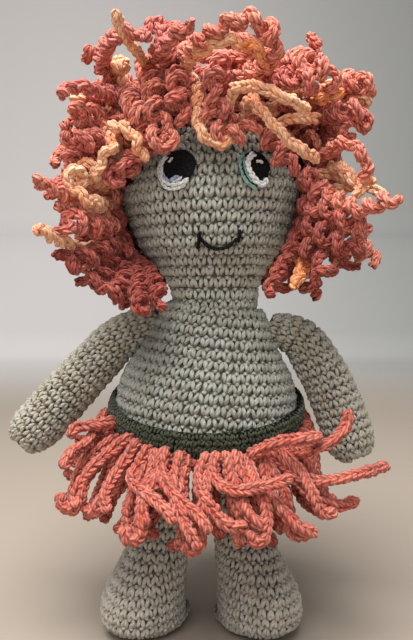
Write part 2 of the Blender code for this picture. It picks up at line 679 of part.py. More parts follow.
def make_eye(side, word):
    azimuth = HEAD_TURN + side * EYE_SPREAD
    spot, outward = on_face(azimuth, EYE_RISE - side * EYE_UNEVEN, GAP)
    place = HEAD @ Matrix.Translation(spot) @ outward.to_track_quat("Z", "Y").to_matrix().to_4x4()
    edge = EYE_EDGE
    profile = [(0, EYE_THICKNESS), (EYE_RADIUS - edge, EYE_THICKNESS), (EYE_RADIUS, EYE_THICKNESS - edge),
               (EYE_RADIUS, edge), (EYE_RADIUS - edge, 0), (0, 0)]
    turned(word + "_eye_pupil", profile, ARM_SIDES, place, "black_yarn")

    def crescent(name, ring, height, angles, colour):
        start, end = angles
        turns = [math.radians(start + (end - start) * i / CRESCENT_STEPS) for i in range(CRESCENT_STEPS + 1)]
        points = [Vector((ring * math.cos(a), ring * math.sin(a), height)) for a in turns]
        cord(name, points, [THREAD_RADIUS] * len(turns), place, colour)

    ring = EYE_RADIUS + CRESCENT_GAP + THREAD_RADIUS
    height = EYE_THICKNESS + GAP + THREAD_RADIUS
    if side == LEFT:
        crescent(word + "_eye_white", EYE_RADIUS - OVERLAID_INSET, height, WHITE_ANGLES, "white_thread")
        crescent(word + "_eye_aqua", ring, THREAD_RADIUS, AQUA_ANGLES, "aqua_thread")
    else:
        crescent(word + "_eye_white", ring, THREAD_RADIUS, WHITE_ANGLES, "white_thread")
    half = GLINT_LENGTH / 2
    points = [Vector((-half, GLINT_RISE, height)), Vector((half, GLINT_RISE, height))]
    cord(word + "_eye_glint", points, [THREAD_RADIUS] * 2, place, "white_thread")


def make_smile():
    def line(name, spots, colour):
        points = [on_face(HEAD_TURN + x / HEAD_RADIUS, z, GAP + THREAD_RADIUS)[0] for x, z in spots]
        return cord(name, points, [THREAD_RADIUS] * len(points), HEAD, colour)

    width = SMILE_HALF_WIDTH
    run = [-1 + 2 * i / (SMILE_POINTS - 1) for i in range(SMILE_POINTS)]
    smile = line("smile", [(width * x, -SMILE_DROP - SMILE_DIP * (1 - x * x)) for x in run], "black_yarn")
    for word, x in (("left", width), ("right", -width)):
        spots = [(x, -SMILE_DROP + way * TICK_HALF_LENGTH) for way in (1, 0, -1)]
        combine(smile, line(word + "_tick", spots, None), "UNION")


def shoulder(side):
    return TORSO @ Vector((side * SHOULDER_REACH, 0, SHOULDER_HEIGHT))


def hip(side):
    return Vector((HIP_MIDDLE + side * HIP_SPREAD, 0, BELLY_HEIGHT - HIP_DROP))


clear_scene()
PARTS = collection("amigurumi_doll")
CUTTERS = collection("cutters")
DOLL = bpy.data.objects.new("doll", None)
PARTS.objects.link(DOLL)
DOLL.location = (DOLL_X, DOLL_Y, 0)
BELLY = Matrix.Translation((0, 0, BELLY_HEIGHT))
TORSO = BELLY @ Matrix.Rotation(TORSO_LEAN, 4, "Y")
NECK = TORSO @ Matrix.Translation((0, 0, NECK_RISE))
HEAD = Matrix.Translation(NECK.to_translation()) @ Matrix.Rotation(HEAD_LEAN, 4, "Y")
SKIRT = BELLY @ Matrix.Rotation(BAND_TILT, 4, "X")

make_torso()
make_neck()
make_head()
for half, half_name in ((LEFT, "left"), (RIGHT, "right")):
    make_leg(half, half_name)
    make_arm(half, half_name)
    make_eye(half, half_name)
make_smile()
make_band()
make_fringe()
make_cap()
make_hair()
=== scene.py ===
"""Crocheted doll: yarn covers, cord hair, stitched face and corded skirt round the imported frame.

Real sizes are numbers times MM. The doll faces -Y, so its own left is +X. A turn is measured from
the front towards the doll's left. Pixel places belong to the 413 x 640 photograph.
"""
import json
import math

import bpy
import numpy as np
from mathutils import Matrix, Vector

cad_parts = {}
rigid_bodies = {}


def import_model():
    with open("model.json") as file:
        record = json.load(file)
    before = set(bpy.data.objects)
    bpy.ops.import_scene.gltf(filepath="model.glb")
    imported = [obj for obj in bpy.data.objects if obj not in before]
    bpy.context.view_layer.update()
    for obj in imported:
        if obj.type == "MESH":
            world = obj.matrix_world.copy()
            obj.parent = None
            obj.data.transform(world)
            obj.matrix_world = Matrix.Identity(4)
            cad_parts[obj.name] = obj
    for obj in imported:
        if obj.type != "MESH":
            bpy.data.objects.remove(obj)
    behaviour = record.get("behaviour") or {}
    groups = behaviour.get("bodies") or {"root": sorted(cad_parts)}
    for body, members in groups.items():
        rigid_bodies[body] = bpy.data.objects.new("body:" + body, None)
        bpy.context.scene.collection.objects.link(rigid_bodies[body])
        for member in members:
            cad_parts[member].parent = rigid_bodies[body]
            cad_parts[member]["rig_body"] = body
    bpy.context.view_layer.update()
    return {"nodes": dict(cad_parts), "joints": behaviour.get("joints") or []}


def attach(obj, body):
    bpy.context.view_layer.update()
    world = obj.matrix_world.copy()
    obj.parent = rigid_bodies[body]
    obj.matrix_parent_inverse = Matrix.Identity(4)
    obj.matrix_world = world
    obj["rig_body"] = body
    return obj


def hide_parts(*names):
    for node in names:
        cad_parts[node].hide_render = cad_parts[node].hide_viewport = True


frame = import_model()

MM = 0.001
LEFT = 1
RIGHT = -1
SIDES = ((LEFT, "left"), (RIGHT, "right"))
JOINTS = {joint["name"]: joint for joint in frame["joints"]}
chance = np.random.default_rng(41)

# The camera stands where the photographer stood
PHOTO_WIDTH = 413
PHOTO_HEIGHT = 640
FOCAL_PX = 732
SENSOR_MM = 36
CAMERA_SPOT = Vector((4.5, -369, 167)) * MM
CAMERA_DIP = math.radians(3.13)

# Doll's own frames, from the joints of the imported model
NECK_RISE = 56 * MM
HEAD_RISE = 46 * MM
HEAD_LEAN = math.radians(-2.6)
HEAD_TURN = math.radians(3.8)

# Crochet gauge: one single crochet
STITCH_WIDTH = 4.8 * MM
STITCH_HEIGHT = 5.3 * MM
HEAD_STITCH_WIDTH = 4.7 * MM
HEAD_STITCH_HEIGHT = 5.5 * MM
LEG_STITCH_HEIGHT = 4.7 * MM
ARM_STITCH_HEIGHT = 4.5 * MM
COVER_SINK = 1.8 * MM
SHADE_SHEET_SINK = 2.4 * MM
TIP_ROUNDING = 0.6
LUMP_LENGTH = 3.1 * MM


def place_of(spot, axis):
    """4 x 4 frame at a spot with its z along an axis and its x to the doll's left."""
    up = Vector(axis).normalized()
    across = Vector((1, 0, 0))
    ahead = up.cross(across).normalized()
    across = ahead.cross(up)
    turned_frame = Matrix((across, ahead, up)).transposed().to_4x4()
    return Matrix.Translation(spot) @ turned_frame


NECK = Vector(JOINTS["neck_turn"]["pos_m"])
TORSO_AXIS = Vector(JOINTS["neck_turn"]["axis"])
TORSO_FRAME = place_of(NECK - TORSO_AXIS * NECK_RISE, TORSO_AXIS)
HEAD_FRAME = Matrix.Translation(NECK) @ Matrix.Rotation(HEAD_LEAN, 4, "Y")
SKIRT_FRAME = place_of(Vector(JOINTS["skirt_turn"]["pos_m"]), JOINTS["skirt_turn"]["axis"])
SKULL = HEAD_FRAME @ Vector((0, 0, HEAD_RISE))


def linear(code):
    """sRGB hex value to a linear colour."""
    parts = [int(code[i:i + 2], 16) / 255 for i in (1, 3, 5)]
    return (*(c / 12.92 if c <= 0.04045 else ((c + 0.055) / 1.055) ** 2.4 for c in parts), 1)


def join(tree, node, inputs):
    """Give a shader node's inputs their values, or link them to the sockets given."""
    for key, value in inputs.items():
        if isinstance(value, bpy.types.NodeSocket):
            tree.links.new(value, node.inputs[key])
        else:
            node.inputs[key].default_value = value


def add(tree, kind, inputs=None, **settings):
    """Add a shader node with its settings and inputs."""
    node = tree.nodes.new("ShaderNode" + kind)
    for key, value in settings.items():
        setattr(node, key, value)
    join(tree, node, inputs or {})
    return node


def new_material(name):
    """A material, its nodes, its shader and the place on the object, which its textures follow."""
    made = bpy.data.materials.new(name)
    made.use_nodes = True
    tree = made.node_tree
    return made, tree, tree.nodes["Principled BSDF"], add(tree, "TexCoord").outputs["Object"]


def clouds(tree, where, grain, detail):
    """Cloudy texture with patches about one grain across."""
    return add(tree, "TexNoise", {"Vector": where, "Scale": 1 / grain, "Detail": detail}).outputs["Fac"]


def ranged(tree, value, *marks, **settings):
    """Value carried over from low and high to a new low and high."""
    return add(tree, "MapRange", {0: value, **dict(enumerate(marks, 1))}, **settings).outputs[0]


def reckoned(tree, sum_kind, *values):
    return add(tree, "Math", dict(enumerate(values)), operation=sum_kind).outputs[0]


def blended(tree, share, first, second, blend="MIX"):
    """Blend of two colours."""
    return add(tree, "Mix", {0: share, 6: first, 7: second}, data_type="RGBA", blend_type=blend).outputs[2]


def shaded(tree, colour, light):
    """Colour made darker or lighter by a value."""
    grey = add(tree, "CombineColor", {0: light, 1: light, 2: light}).outputs[0]
    return blended(tree, 1.0, colour, grey, "MULTIPLY")


def plied_cotton(name, bright, deep, blush, gloss=0.25, roughness=0.72, ply_mm=2.6, plies=3, furrow_shade=0.86,
                 relief=0.16):
    """Plied cotton yarn: the eye sees slanting strands, a soft sheen, and painted shade at the ends that dive under
    (deep) and in the furrows between plies.
    """
    made, tree, shader, where = new_material(name)
    yarn = add(tree, "SeparateXYZ", {0: add(tree, "UVMap", uv_map="yarn").outputs["UV"]})
    along = reckoned(tree, "MULTIPLY", yarn.outputs["X"], 2 * math.pi / ply_mm)
    around = reckoned(tree, "MULTIPLY", yarn.outputs["Y"], 2 * math.pi * plies)
    ply = reckoned(tree, "SINE", reckoned(tree, "ADD", along, around))
    # Fibres about 0.5 mm across, drawn coarser than the real 0.02 mm so that they show
    fibre = clouds(tree, where, 0.5 * MM, 3.0)
    # Dye and handling: soft patches about 9 mm across
    patch = clouds(tree, where, 9 * MM, 2.0)
    # Painted shade: this attribute darkens lobe ends, the loop behind and the core towards deep, times a random tone
    # for each stitch
    tone = add(tree, "Attribute", attribute_name="tone").outputs["Fac"]
    body = blended(tree, tone, linear(deep), linear(bright))
    handled = blended(tree, ranged(tree, patch, 0.42, 0.68, 0.0, 0.75), body, linear(blush), "MULTIPLY")
    fine = ranged(tree, fibre, 0.3, 0.7, 0.86, 1.08)
    # Painted shade in the furrows between the plies
    grain = ranged(tree, ply, -1.0, 0.6, furrow_shade, 1.05)
    strands = add(tree, "Bump", {"Height": ply, "Strength": 0.6, "Distance": relief * MM}).outputs[0]
    fuzz = add(tree, "Bump", {"Height": fibre, "Strength": 0.35, "Distance": 0.2 * MM, "Normal": strands})
    join(tree, shader, {"Base Color": shaded(tree, handled, reckoned(tree, "MULTIPLY", fine, grain)),
                        "Normal": fuzz.outputs[0], "Roughness": roughness, "Specular IOR Level": 0.3,
                        "Sheen Weight": gloss, "Sheen Roughness": 0.45})
    return made


def lumpy_matt_fibre(name, code):
    """Matt lumpy fibre. For the inside of the crochet, seen only through its holes, the colour given is the same
    cotton painted in deep shade; for the stuffing it is its own colour.
    """
    made, tree, shader, where = new_material(name)
    lumps = clouds(tree, where, 1.4 * MM, 2.0)
    bump = add(tree, "Bump", {"Height": lumps, "Strength": 0.6, "Distance": 0.5 * MM})
    join(tree, shader, {"Base Color": shaded(tree, linear(code), ranged(tree, lumps, 0.3, 0.7, 0.55, 1.15)),
                        "Normal": bump.outputs[0], "Roughness": 0.95, "Specular IOR Level": 0.1})
    return made


def matt_backdrop(name, floor, left, right):
    """Studio board: a warm floor under a pale wall, with painted shade that greys the wall towards one side."""
    made, tree, shader, where = new_material(name)
    place = add(tree, "SeparateXYZ", {0: where})
    # Painted shade: the wall darkens from its left colour to its right one
    aside = ranged(tree, place.outputs["X"], -0.5, 0.9, interpolation_type="SMOOTHSTEP")
    back = ranged(tree, place.outputs["Y"], 0.5, 1.2, interpolation_type="SMOOTHSTEP")
    wall = blended(tree, aside, linear(left), linear(right))
    join(tree, shader, {"Base Color": blended(tree, back, linear(floor), wall), "Roughness": 0.9})
    return made

# Cord yarn is loosely plied: long strands that show singly
CORD_PLIES = {"ply_mm": 7.0, "plies": 4, "furrow_shade": 0.52, "relief": 0.36}
SOFT_PLIES = {"ply_mm": 8.0, "plies": 4, "furrow_shade": 0.82, "relief": 0.3}
# Each cotton: its colour in light, the colour painted at its shaded ends, and a tint of dye and handling; each inside
# is its cotton painted in deep shade
HEAD_COTTON = plied_cotton("grey_beige_cotton_head", "#C8C8BC", "#757368", "#EAE6DE")
BODY_COTTON = plied_cotton("grey_beige_cotton_body", "#A9A99E", "#57564D", "#E5E0D5")
LEG_COTTON = plied_cotton("grey_beige_cotton_legs", "#C7BFB2", "#706A5D", "#EDE6DB")
HAND_COTTON = plied_cotton("grey_beige_cotton_arms", "#BCB7A9", "#696353", "#EADFCA")
BODY_PAINTED_SHADE = lumpy_matt_fibre("grey_beige_cotton_inside_painted_shade", "#67635a")
OLIVE_COTTON = plied_cotton("olive_cotton", "#43482F", "#14170C", "#D8DCC4")
OLIVE_PAINTED_SHADE = lumpy_matt_fibre("olive_cotton_inside_painted_shade", "#0F110A")
CORAL_COTTON = plied_cotton("coral_cotton", "#FF9B80", "#7A2019", "#F0BDB4", gloss=0.2, **CORD_PLIES)
ROSE_COTTON = plied_cotton("rose_coral_cotton", "#F28B78", "#6C1D19", "#EDBBB2", gloss=0.2, **CORD_PLIES)
# The coral yarn painted in shade, for low, inner and underskirt cords
SHADED_CORAL_COTTON = plied_cotton("coral_cotton_painted_shade", "#C4604F", "#4A120F", "#E4B0A8", gloss=0.15, **CORD_PLIES)
CORAL_PAINTED_SHADE = lumpy_matt_fibre("coral_cotton_inside_painted_shade", "#4A120E")
SKIRT_COTTON = plied_cotton("skirt_coral_cotton", "#E5806A", "#611812", "#F0BEB4", gloss=0.2, **CORD_PLIES)
PEACH_COTTON = plied_cotton("peach_cotton", "#FFCBA2", "#D27A4C", "#FFCCAA", gloss=0.25, **SOFT_PLIES)
AMBER_COTTON = plied_cotton("amber_cotton", "#FFAE72", "#CC6230", "#FBC498", gloss=0.25, **SOFT_PLIES)
PEACH_PAINTED_SHADE = lumpy_matt_fibre("peach_cotton_inside_painted_shade", "#8A5330")
BLACK_THREAD = plied_cotton("black_mercerised_thread", "#060607", "#020202", "#FFFFFF", 0.0, 0.7, 1.6)
WHITE_THREAD = plied_cotton("white_mercerised_thread", "#FFFFFD", "#BCC0C2", "#FFFFFF", 0.3, 0.5, 1.6)
PALE_BLUE_THREAD = plied_cotton("pale_blue_thread", "#B4C0D8", "#5C6A82", "#FFFFFF", 0.2, 0.5, 1.6)
AQUA_THREAD = plied_cotton("aqua_thread", "#9AC4BA", "#4E7F78", "#FFFFFF", 0.2, 0.5, 1.6)
STUFFING_FIBRE = lumpy_matt_fibre("polyester_stuffing", "#CFCBC0")

# Slot, yarn and inside of each colour of cord and thread; the coral and peach insides are painted in deep shade
YARNS = {
    "coral": ("coral_yarn", CORAL_COTTON, CORAL_PAINTED_SHADE),
    "rose": ("coral_yarn", ROSE_COTTON, CORAL_PAINTED_SHADE),
    "shaded_coral": ("coral_yarn", SHADED_CORAL_COTTON, CORAL_PAINTED_SHADE),
    "skirt": ("coral_yarn", SKIRT_COTTON, CORAL_PAINTED_SHADE),
    "peach": ("peach_yarn", PEACH_COTTON, PEACH_PAINTED_SHADE),
    "amber": ("peach_yarn", AMBER_COTTON, PEACH_PAINTED_SHADE),
    "black": ("black_yarn", BLACK_THREAD, BLACK_THREAD),
    "white": ("white_thread", WHITE_THREAD, WHITE_THREAD),
    "pale_blue": ("white_thread", PALE_BLUE_THREAD, PALE_BLUE_THREAD),
    "aqua": ("aqua_thread", AQUA_THREAD, AQUA_THREAD),
}


def unit(ways):
    """Ways made one long."""
    return ways / (np.linalg.norm(ways, axis=-1, keepdims=True) + 1e-12)


def read_off(at, run, rows):
    """Rows of a path read off at distances along it."""
    return np.stack([np.interp(at, run, column) for column in rows.T], axis=-1)


def skin_faces(rings, count):
    """Squares between rings of points and a fan to one more point at each end; ring and place of each square."""
    i, j = (index.ravel() for index in np.meshgrid(np.arange(rings - 1), np.arange(count), indexing="ij"))
    k = (j + 1) % count
    squares = np.stack([i * count + j, (i + 1) * count + j, (i + 1) * count + k, i * count + k], axis=1)
    rim = np.arange(count)
    after = (rim + 1) % count
    first, end = np.full(count, rings * count), (rings - 1) * count
    fans = np.concatenate([np.stack([first, rim, after], axis=1),
                           np.stack([first + 1, end + after, end + rim], axis=1)])
    return squares, fans, i, j

class Skein:
    """Collects closed tubes and shells of yarn and turns them into one mesh."""

    def __init__(self):
        self.points, self.faces, self.corners, self.tones, self.kinds = [], [], [], [], []
        self.count = 0

    def take(self, points, faces, corners, tones, kind):
        """faces: index arrays of one width; corners: yarn coordinates for each face corner."""
        self.points.append(points)
        self.tones.append(tones)
        for face, corner in zip(faces, corners):
            self.faces.append(face + self.count)
            self.corners.append(corner)
            self.kinds.append(np.full(len(face), kind, np.int32))
        self.count += len(points)

    def tubes(self, paths, radii, outs, tones, sides=6, kind=0):
        """Closed tubes. paths: (tubes, rings, 3); radii and shade values, which carry painted shade and random tone:
        (tubes, rings); outs: (tubes, 3).
        """
        total, rings, _ = paths.shape
        ahead = unit(np.gradient(paths, axis=1))
        side = unit(np.cross(ahead, np.broadcast_to(outs, (total, 3))[:, None, :]))
        over = np.cross(side, ahead)
        turn = np.arange(sides) / sides * 2 * math.pi
        rim = side[:, :, None, :] * np.cos(turn)[:, None] + over[:, :, None, :] * np.sin(turn)[:, None]
        rim = paths[:, :, None, :] + rim * radii[:, :, None, None]
        tail = paths[:, 0] - ahead[:, 0] * radii[:, :1] * TIP_ROUNDING
        tip = paths[:, -1] + ahead[:, -1] * radii[:, -1:] * TIP_ROUNDING
        points = np.concatenate([rim.reshape(total, rings * sides, 3), tail[:, None], tip[:, None]], axis=1)
        point_tones = np.concatenate([np.repeat(tones, sides, axis=1), tones[:, :1], tones[:, -1:]], axis=1)

        squares, fans, i, j = skin_faces(rings, sides)
        run = np.linalg.norm(np.diff(paths, axis=1), axis=2).cumsum(axis=1)
        run = np.concatenate([np.zeros((total, 1)), run], axis=1) / MM
        run += chance.uniform(0, 9, (total, 1))
        level = np.stack([run[:, i], run[:, i + 1], run[:, i + 1], run[:, i]], axis=2)
        spin = np.stack([j, j, j + 1, j + 1], axis=1) / sides
        square_yarn = np.stack([level, np.broadcast_to(spin, level.shape)], axis=3)
        fan_level = np.repeat(np.repeat(run[:, [0, -1]], sides, axis=1)[:, :, None], 3, axis=2)
        j = np.arange(sides)
        fan_spin = np.concatenate([np.stack([j + 0.5, j, j + 1], axis=1),
                                   np.stack([j + 0.5, j + 1, j], axis=1)]) / sides
        fan_yarn = np.stack([fan_level, np.broadcast_to(fan_spin, fan_level.shape)], axis=3)
        offsets = (np.arange(total) * (rings * sides + 2))[:, None, None]
        self.take(points.reshape(-1, 3), [(squares + offsets).reshape(-1, 4), (fans + offsets).reshape(-1, 3)],
                  [square_yarn.reshape(-1, 2), fan_yarn.reshape(-1, 2)], point_tones.reshape(-1), kind)

    def plain(self, points, faces, kind, tone):
        """Points and faces of one painted shade and tone, with no yarn drawn on them."""
        self.take(points, faces, [np.zeros((group.size, 2)) for group in faces], np.full(len(points), tone), kind)

    def shell(self, grid, kind=1, tone=0.5):
        """Closed skin through rings of points, (rings, count, 3), capped by a point at each end."""
        points = np.concatenate([grid.reshape(-1, 3), grid[:1].mean(axis=1), grid[-1:].mean(axis=1)])
        self.plain(points, skin_faces(*grid.shape[:2])[:2], kind, tone)

    def solid(self, node, sink=0.0, lumps=0.0, kind=1):
        """Copy of a CAD solid, drawn in along its normals and made lumpy."""
        mesh = frame["nodes"][node].data
        points, normals = np.empty(len(mesh.vertices) * 3), np.empty(len(mesh.vertices) * 3)
        mesh.vertices.foreach_get("co", points)
        mesh.vertices.foreach_get("normal", normals)
        points, normals = points.reshape(-1, 3), normals.reshape(-1, 3)
        wave = np.sin(points / LUMP_LENGTH).sum(axis=1, keepdims=True) / 3
        points = points - normals * (sink + lumps * wave)
        faces = [tuple(face.vertices) for face in mesh.polygons]
        widths = sorted({len(face) for face in faces})
        self.plain(points, [np.array([face for face in faces if len(face) == width]) for width in widths], kind, 0.5)

    def piece(self, name, body, slot, *materials, node=None, fill=None):
        """Make the mesh object, which rides on a CAD body; node: what it replaces; fill: not used."""
        mesh = bpy.data.meshes.new(name)
        points = np.concatenate(self.points)
        widths = np.concatenate([np.full(len(face), face.shape[1]) for face in self.faces])
        loops = np.concatenate([face.ravel() for face in self.faces])
        mesh.vertices.add(len(points))
        mesh.vertices.foreach_set("co", points.ravel())
        mesh.loops.add(len(loops))
        mesh.loops.foreach_set("vertex_index", loops)
        mesh.polygons.add(len(widths))
        mesh.polygons.foreach_set("loop_start", np.concatenate([[0], widths.cumsum()[:-1]]))
        mesh.polygons.foreach_set("material_index", np.concatenate(self.kinds))
        mesh.update(calc_edges=True)
        yarn = mesh.uv_layers.new(name="yarn")
        yarn.uv.foreach_set("vector", np.concatenate(self.corners).ravel())
        tone = mesh.attributes.new("tone", "FLOAT", "POINT")
        tone.data.foreach_set("value", np.concatenate(self.tones))
        mesh.shade_smooth()
        for material in materials:
            mesh.materials.append(material)
        item = bpy.data.objects.new(name, mesh)
        bpy.context.scene.collection.objects.link(item)
        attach(item, body)
        if node:
            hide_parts(node)

def curve(points, step, measured=slice(None)):
    """Even rows along a smooth curve through the points, and the distance of each along it."""
    points = np.array(points, float)
    ends = np.concatenate([points[:1] * 2 - points[1:2], points, points[-1:] * 2 - points[-2:-1]])
    fine = []
    for a, b, c, d in zip(ends, ends[1:], ends[2:], ends[3:]):
        t = np.linspace(0, 1, 16, endpoint=False)[:, None]
        fine.append(0.5 * (2 * b + (c - a) * t + (2 * a - 5 * b + 4 * c - d) * t ** 2
                           + (3 * b - a - 3 * c + d) * t ** 3))
    fine = np.concatenate(fine + [points[-1:]])
    run = np.linalg.norm(np.diff(fine[:, measured], axis=0), axis=1).cumsum()
    run = np.concatenate([[0], run])
    count = max(4, int(round(run[-1] / step)) + 1)
    even = np.linspace(0, run[-1], count)
    return read_off(even, run, fine), even

def turned_surface(outline, place):
    """Surface of revolution from (radius, height) points, from its top to its bottom, and its length."""
    line, run = curve(outline, 0.5 * MM)
    spin = np.array(place.to_3x3())
    base = np.array(place.to_translation())

    def surface(down, turn):
        radius = np.maximum(np.interp(down, run, line[:, 0]), 0)
        height = np.interp(down, run, line[:, 1])
        local = np.stack([radius * np.sin(turn), -radius * np.cos(turn), height + 0 * turn], axis=-1)
        return local @ spin.T + base

    return surface, run[-1]


def cloth_frames(surface, down, turn):
    """Middle, right, up and outward ways of the cloth at many places, and how far it is stretched there."""
    reach, swing = 0.6 * MM, 0.03
    right = unit(surface(down, turn + swing) - surface(down, turn - swing))
    up = surface(down - reach, turn) - surface(down + reach, turn)
    out = unit(np.cross(right, up))
    stretch = np.linalg.norm(up, axis=1) / (2 * reach)
    return surface(down, turn), right, np.cross(out, right), out, stretch

# One single crochet: each yarn run of it by its x and y in shares of the stitch's width and height, its
# depth and radius in mm, its brightness, which is painted shade, and its sides. The two plump legs of a V,
# the knot of the next stitch that sits in the V's mouth and the loop behind them, darker in painted shade.
YARN_RUNS = (
    ((-0.34, -0.32, -0.26, -0.18, -0.1), (0.48, 0.32, 0.1, -0.14, -0.36), (-0.5, 0.35, 0.75, 0.5, -0.5),
     (0.6, 0.94, 1.08, 0.98, 0.6), 1.0, 6),
    ((0.34, 0.32, 0.26, 0.18, 0.1), (0.48, 0.32, 0.1, -0.14, -0.36), (-0.5, 0.35, 0.75, 0.5, -0.5),
     (0.6, 0.94, 1.08, 0.98, 0.6), 0.95, 6),
    ((-0.15, 0.0, 0.16), (0.46, 0.53, 0.6), (-0.3, 0.4, -0.3), (0.8, 1.16, 0.8), 0.95, 5),
    ((-0.46, 0.0, 0.46), (0.5, 0.44, 0.5), (-1.2, -0.8, -1.2), (0.7, 0.8, 0.7), 0.5, 4),
)
LEAN_SHARE = 0.08
ROW_SHIFT = 0.25
END_ROOM = 0.42
# Painted shade along a lobe: darker at its ends, where it dives under its neighbour
LOBE_END_SHADE = np.array((0.35, 0.8, 1.0, 0.82, 0.35))
SHORT_END_SHADE = np.array((0.45, 1.0, 0.45))
STITCH_JITTER = 0.18 * MM
RUN_JITTER = 0.1 * MM
POINT_JITTER = 0.06 * MM

def stitch_places(surface, start, end, width, height):
    """Down, turn and width of each stitch of a spiral worked round and round."""
    probe = np.linspace(0, 2 * math.pi, 49)
    places = []
    rows = int(round((end - start) / height))
    height = (end - start) / rows
    for row in range(rows):
        down = start + height * (row + 0.5)
        rim = surface(np.full(len(probe), down), probe)
        girth = np.linalg.norm(np.diff(rim, axis=0), axis=1).sum()
        count = max(5, int(round(girth / width)))
        for i in range(count):
            turn = math.pi + 2 * math.pi * (i - row * ROW_SHIFT) / count
            place = min(down + height * (i / count - 0.5), end - END_ROOM * height)
            places.append((place, turn, girth / count))
    return np.array(places)
def single_crochet(skein, surface, places, height, sink=COVER_SINK):
    """One single crochet for each place."""
    down, turn, width = places.T
    middle, right, up, out, stretch = cloth_frames(surface, down, turn)
    total = len(places)
    stretch = np.clip(stretch, 0.25, 1.3)
    size = np.minimum(width / STITCH_WIDTH, 1.15) * chance.uniform(0.94, 1.06, total)
    size = size * np.minimum(stretch, 1) ** 0.5
    width = width * chance.uniform(0.95, 1.05, total)
    tall = height * stretch * chance.uniform(0.95, 1.05, total)
    twist = chance.normal(0, 0.07, total)
    right_turned = right + up * twist[:, None]
    up_turned = up - right * twist[:, None]
    middle = middle - out * sink + right * chance.normal(0, STITCH_JITTER, (total, 1))
    middle = middle + up * chance.normal(0, STITCH_JITTER, (total, 1))
    bright = chance.uniform(0.82, 1.0, total)
    for x_line, y_line, depth, radius, tone, rim in YARN_RUNS:
        y_line = np.array(y_line)
        x = np.array(x_line) + LEAN_SHARE * y_line
        paths = (middle[:, None]
                 + right_turned[:, None] * (width[:, None] * x)[:, :, None]
                 + up_turned[:, None] * (tall[:, None] * y_line)[:, :, None]
                 + out[:, None] * (np.array(depth) * MM)[None, :, None])
        paths = paths + chance.normal(0, RUN_JITTER, (total, 1, 3)) + chance.normal(0, POINT_JITTER, paths.shape)
        radii = np.array(radius) * MM * (size * chance.uniform(0.92, 1.08, total))[:, None]
        # Painted shade at the ends and behind, times a random brightness of each stitch
        share = LOBE_END_SHADE if len(x) == 5 else SHORT_END_SHADE
        tones = share * (bright * tone * chance.uniform(0.88, 1.0, total))[:, None]
        skein.tubes(paths, radii, out, tones, rim)


def shade_sheet_grid(surface, end, count, step=2.2 * MM):
    """Rings of points a little below the cloth, for the sheet painted in deep shade."""
    downs = np.linspace(0, end, max(3, int(end / step)))
    turns = np.arange(count) / count * 2 * math.pi
    down, turn = np.meshgrid(downs, turns, indexing="ij")
    middle, _, _, out, _ = cloth_frames(surface, down.ravel(), turn.ravel())
    return (middle - out * SHADE_SHEET_SINK).reshape(len(downs), count, 3)


def make_cover(part, surface, start, end, width, height, cotton, columns=56, rim=None):
    """Crocheted cover of one part of the body, worked round and round over its stuffing; rim: of the face."""
    skein = Skein()
    places = stitch_places(surface, start, end, width, height)
    if rim:
        places = places[in_face(surface(places[:, 0], places[:, 1]), *rim)]
    single_crochet(skein, surface, places, height)
    # Sheet below the stitches, painted in deep shade, which shows through the holes
    skein.shell(shade_sheet_grid(surface, end, columns))
    skein.piece(part + "_cover", part, "grey_beige_yarn", cotton, BODY_PAINTED_SHADE, node=part, fill=0.95)

def arc(radius, centre, start, end, steps):
    """Points (radius, height) on an arc about a point of the axis, between two elevations."""
    angles = np.radians(np.linspace(start, end, steps + 1))
    return [(radius * math.cos(a), centre + radius * math.sin(a)) for a in angles]


# A cord of slip stitches: columns of slanting lobes round a core, in shares of the cord's radius
CORD_PITCH = 2.9 * MM
LOBE_COLUMNS = 4
LOBE_SLANT = 0.62
LOBE_HALF_LENGTH = 0.68
LOBE_AT = np.array((-1.0, -0.5, 0.0, 0.5, 1.0))
LOBE_DEPTH = np.array((0.62, 0.96, 1.04, 0.96, 0.62))
LOBE_RADIUS = np.array((0.6, 0.95, 1.06, 0.95, 0.6))
LOBE_SHARE = 0.43
CORD_STEP = 1.0 * MM
CORE_SHARE = 0.45

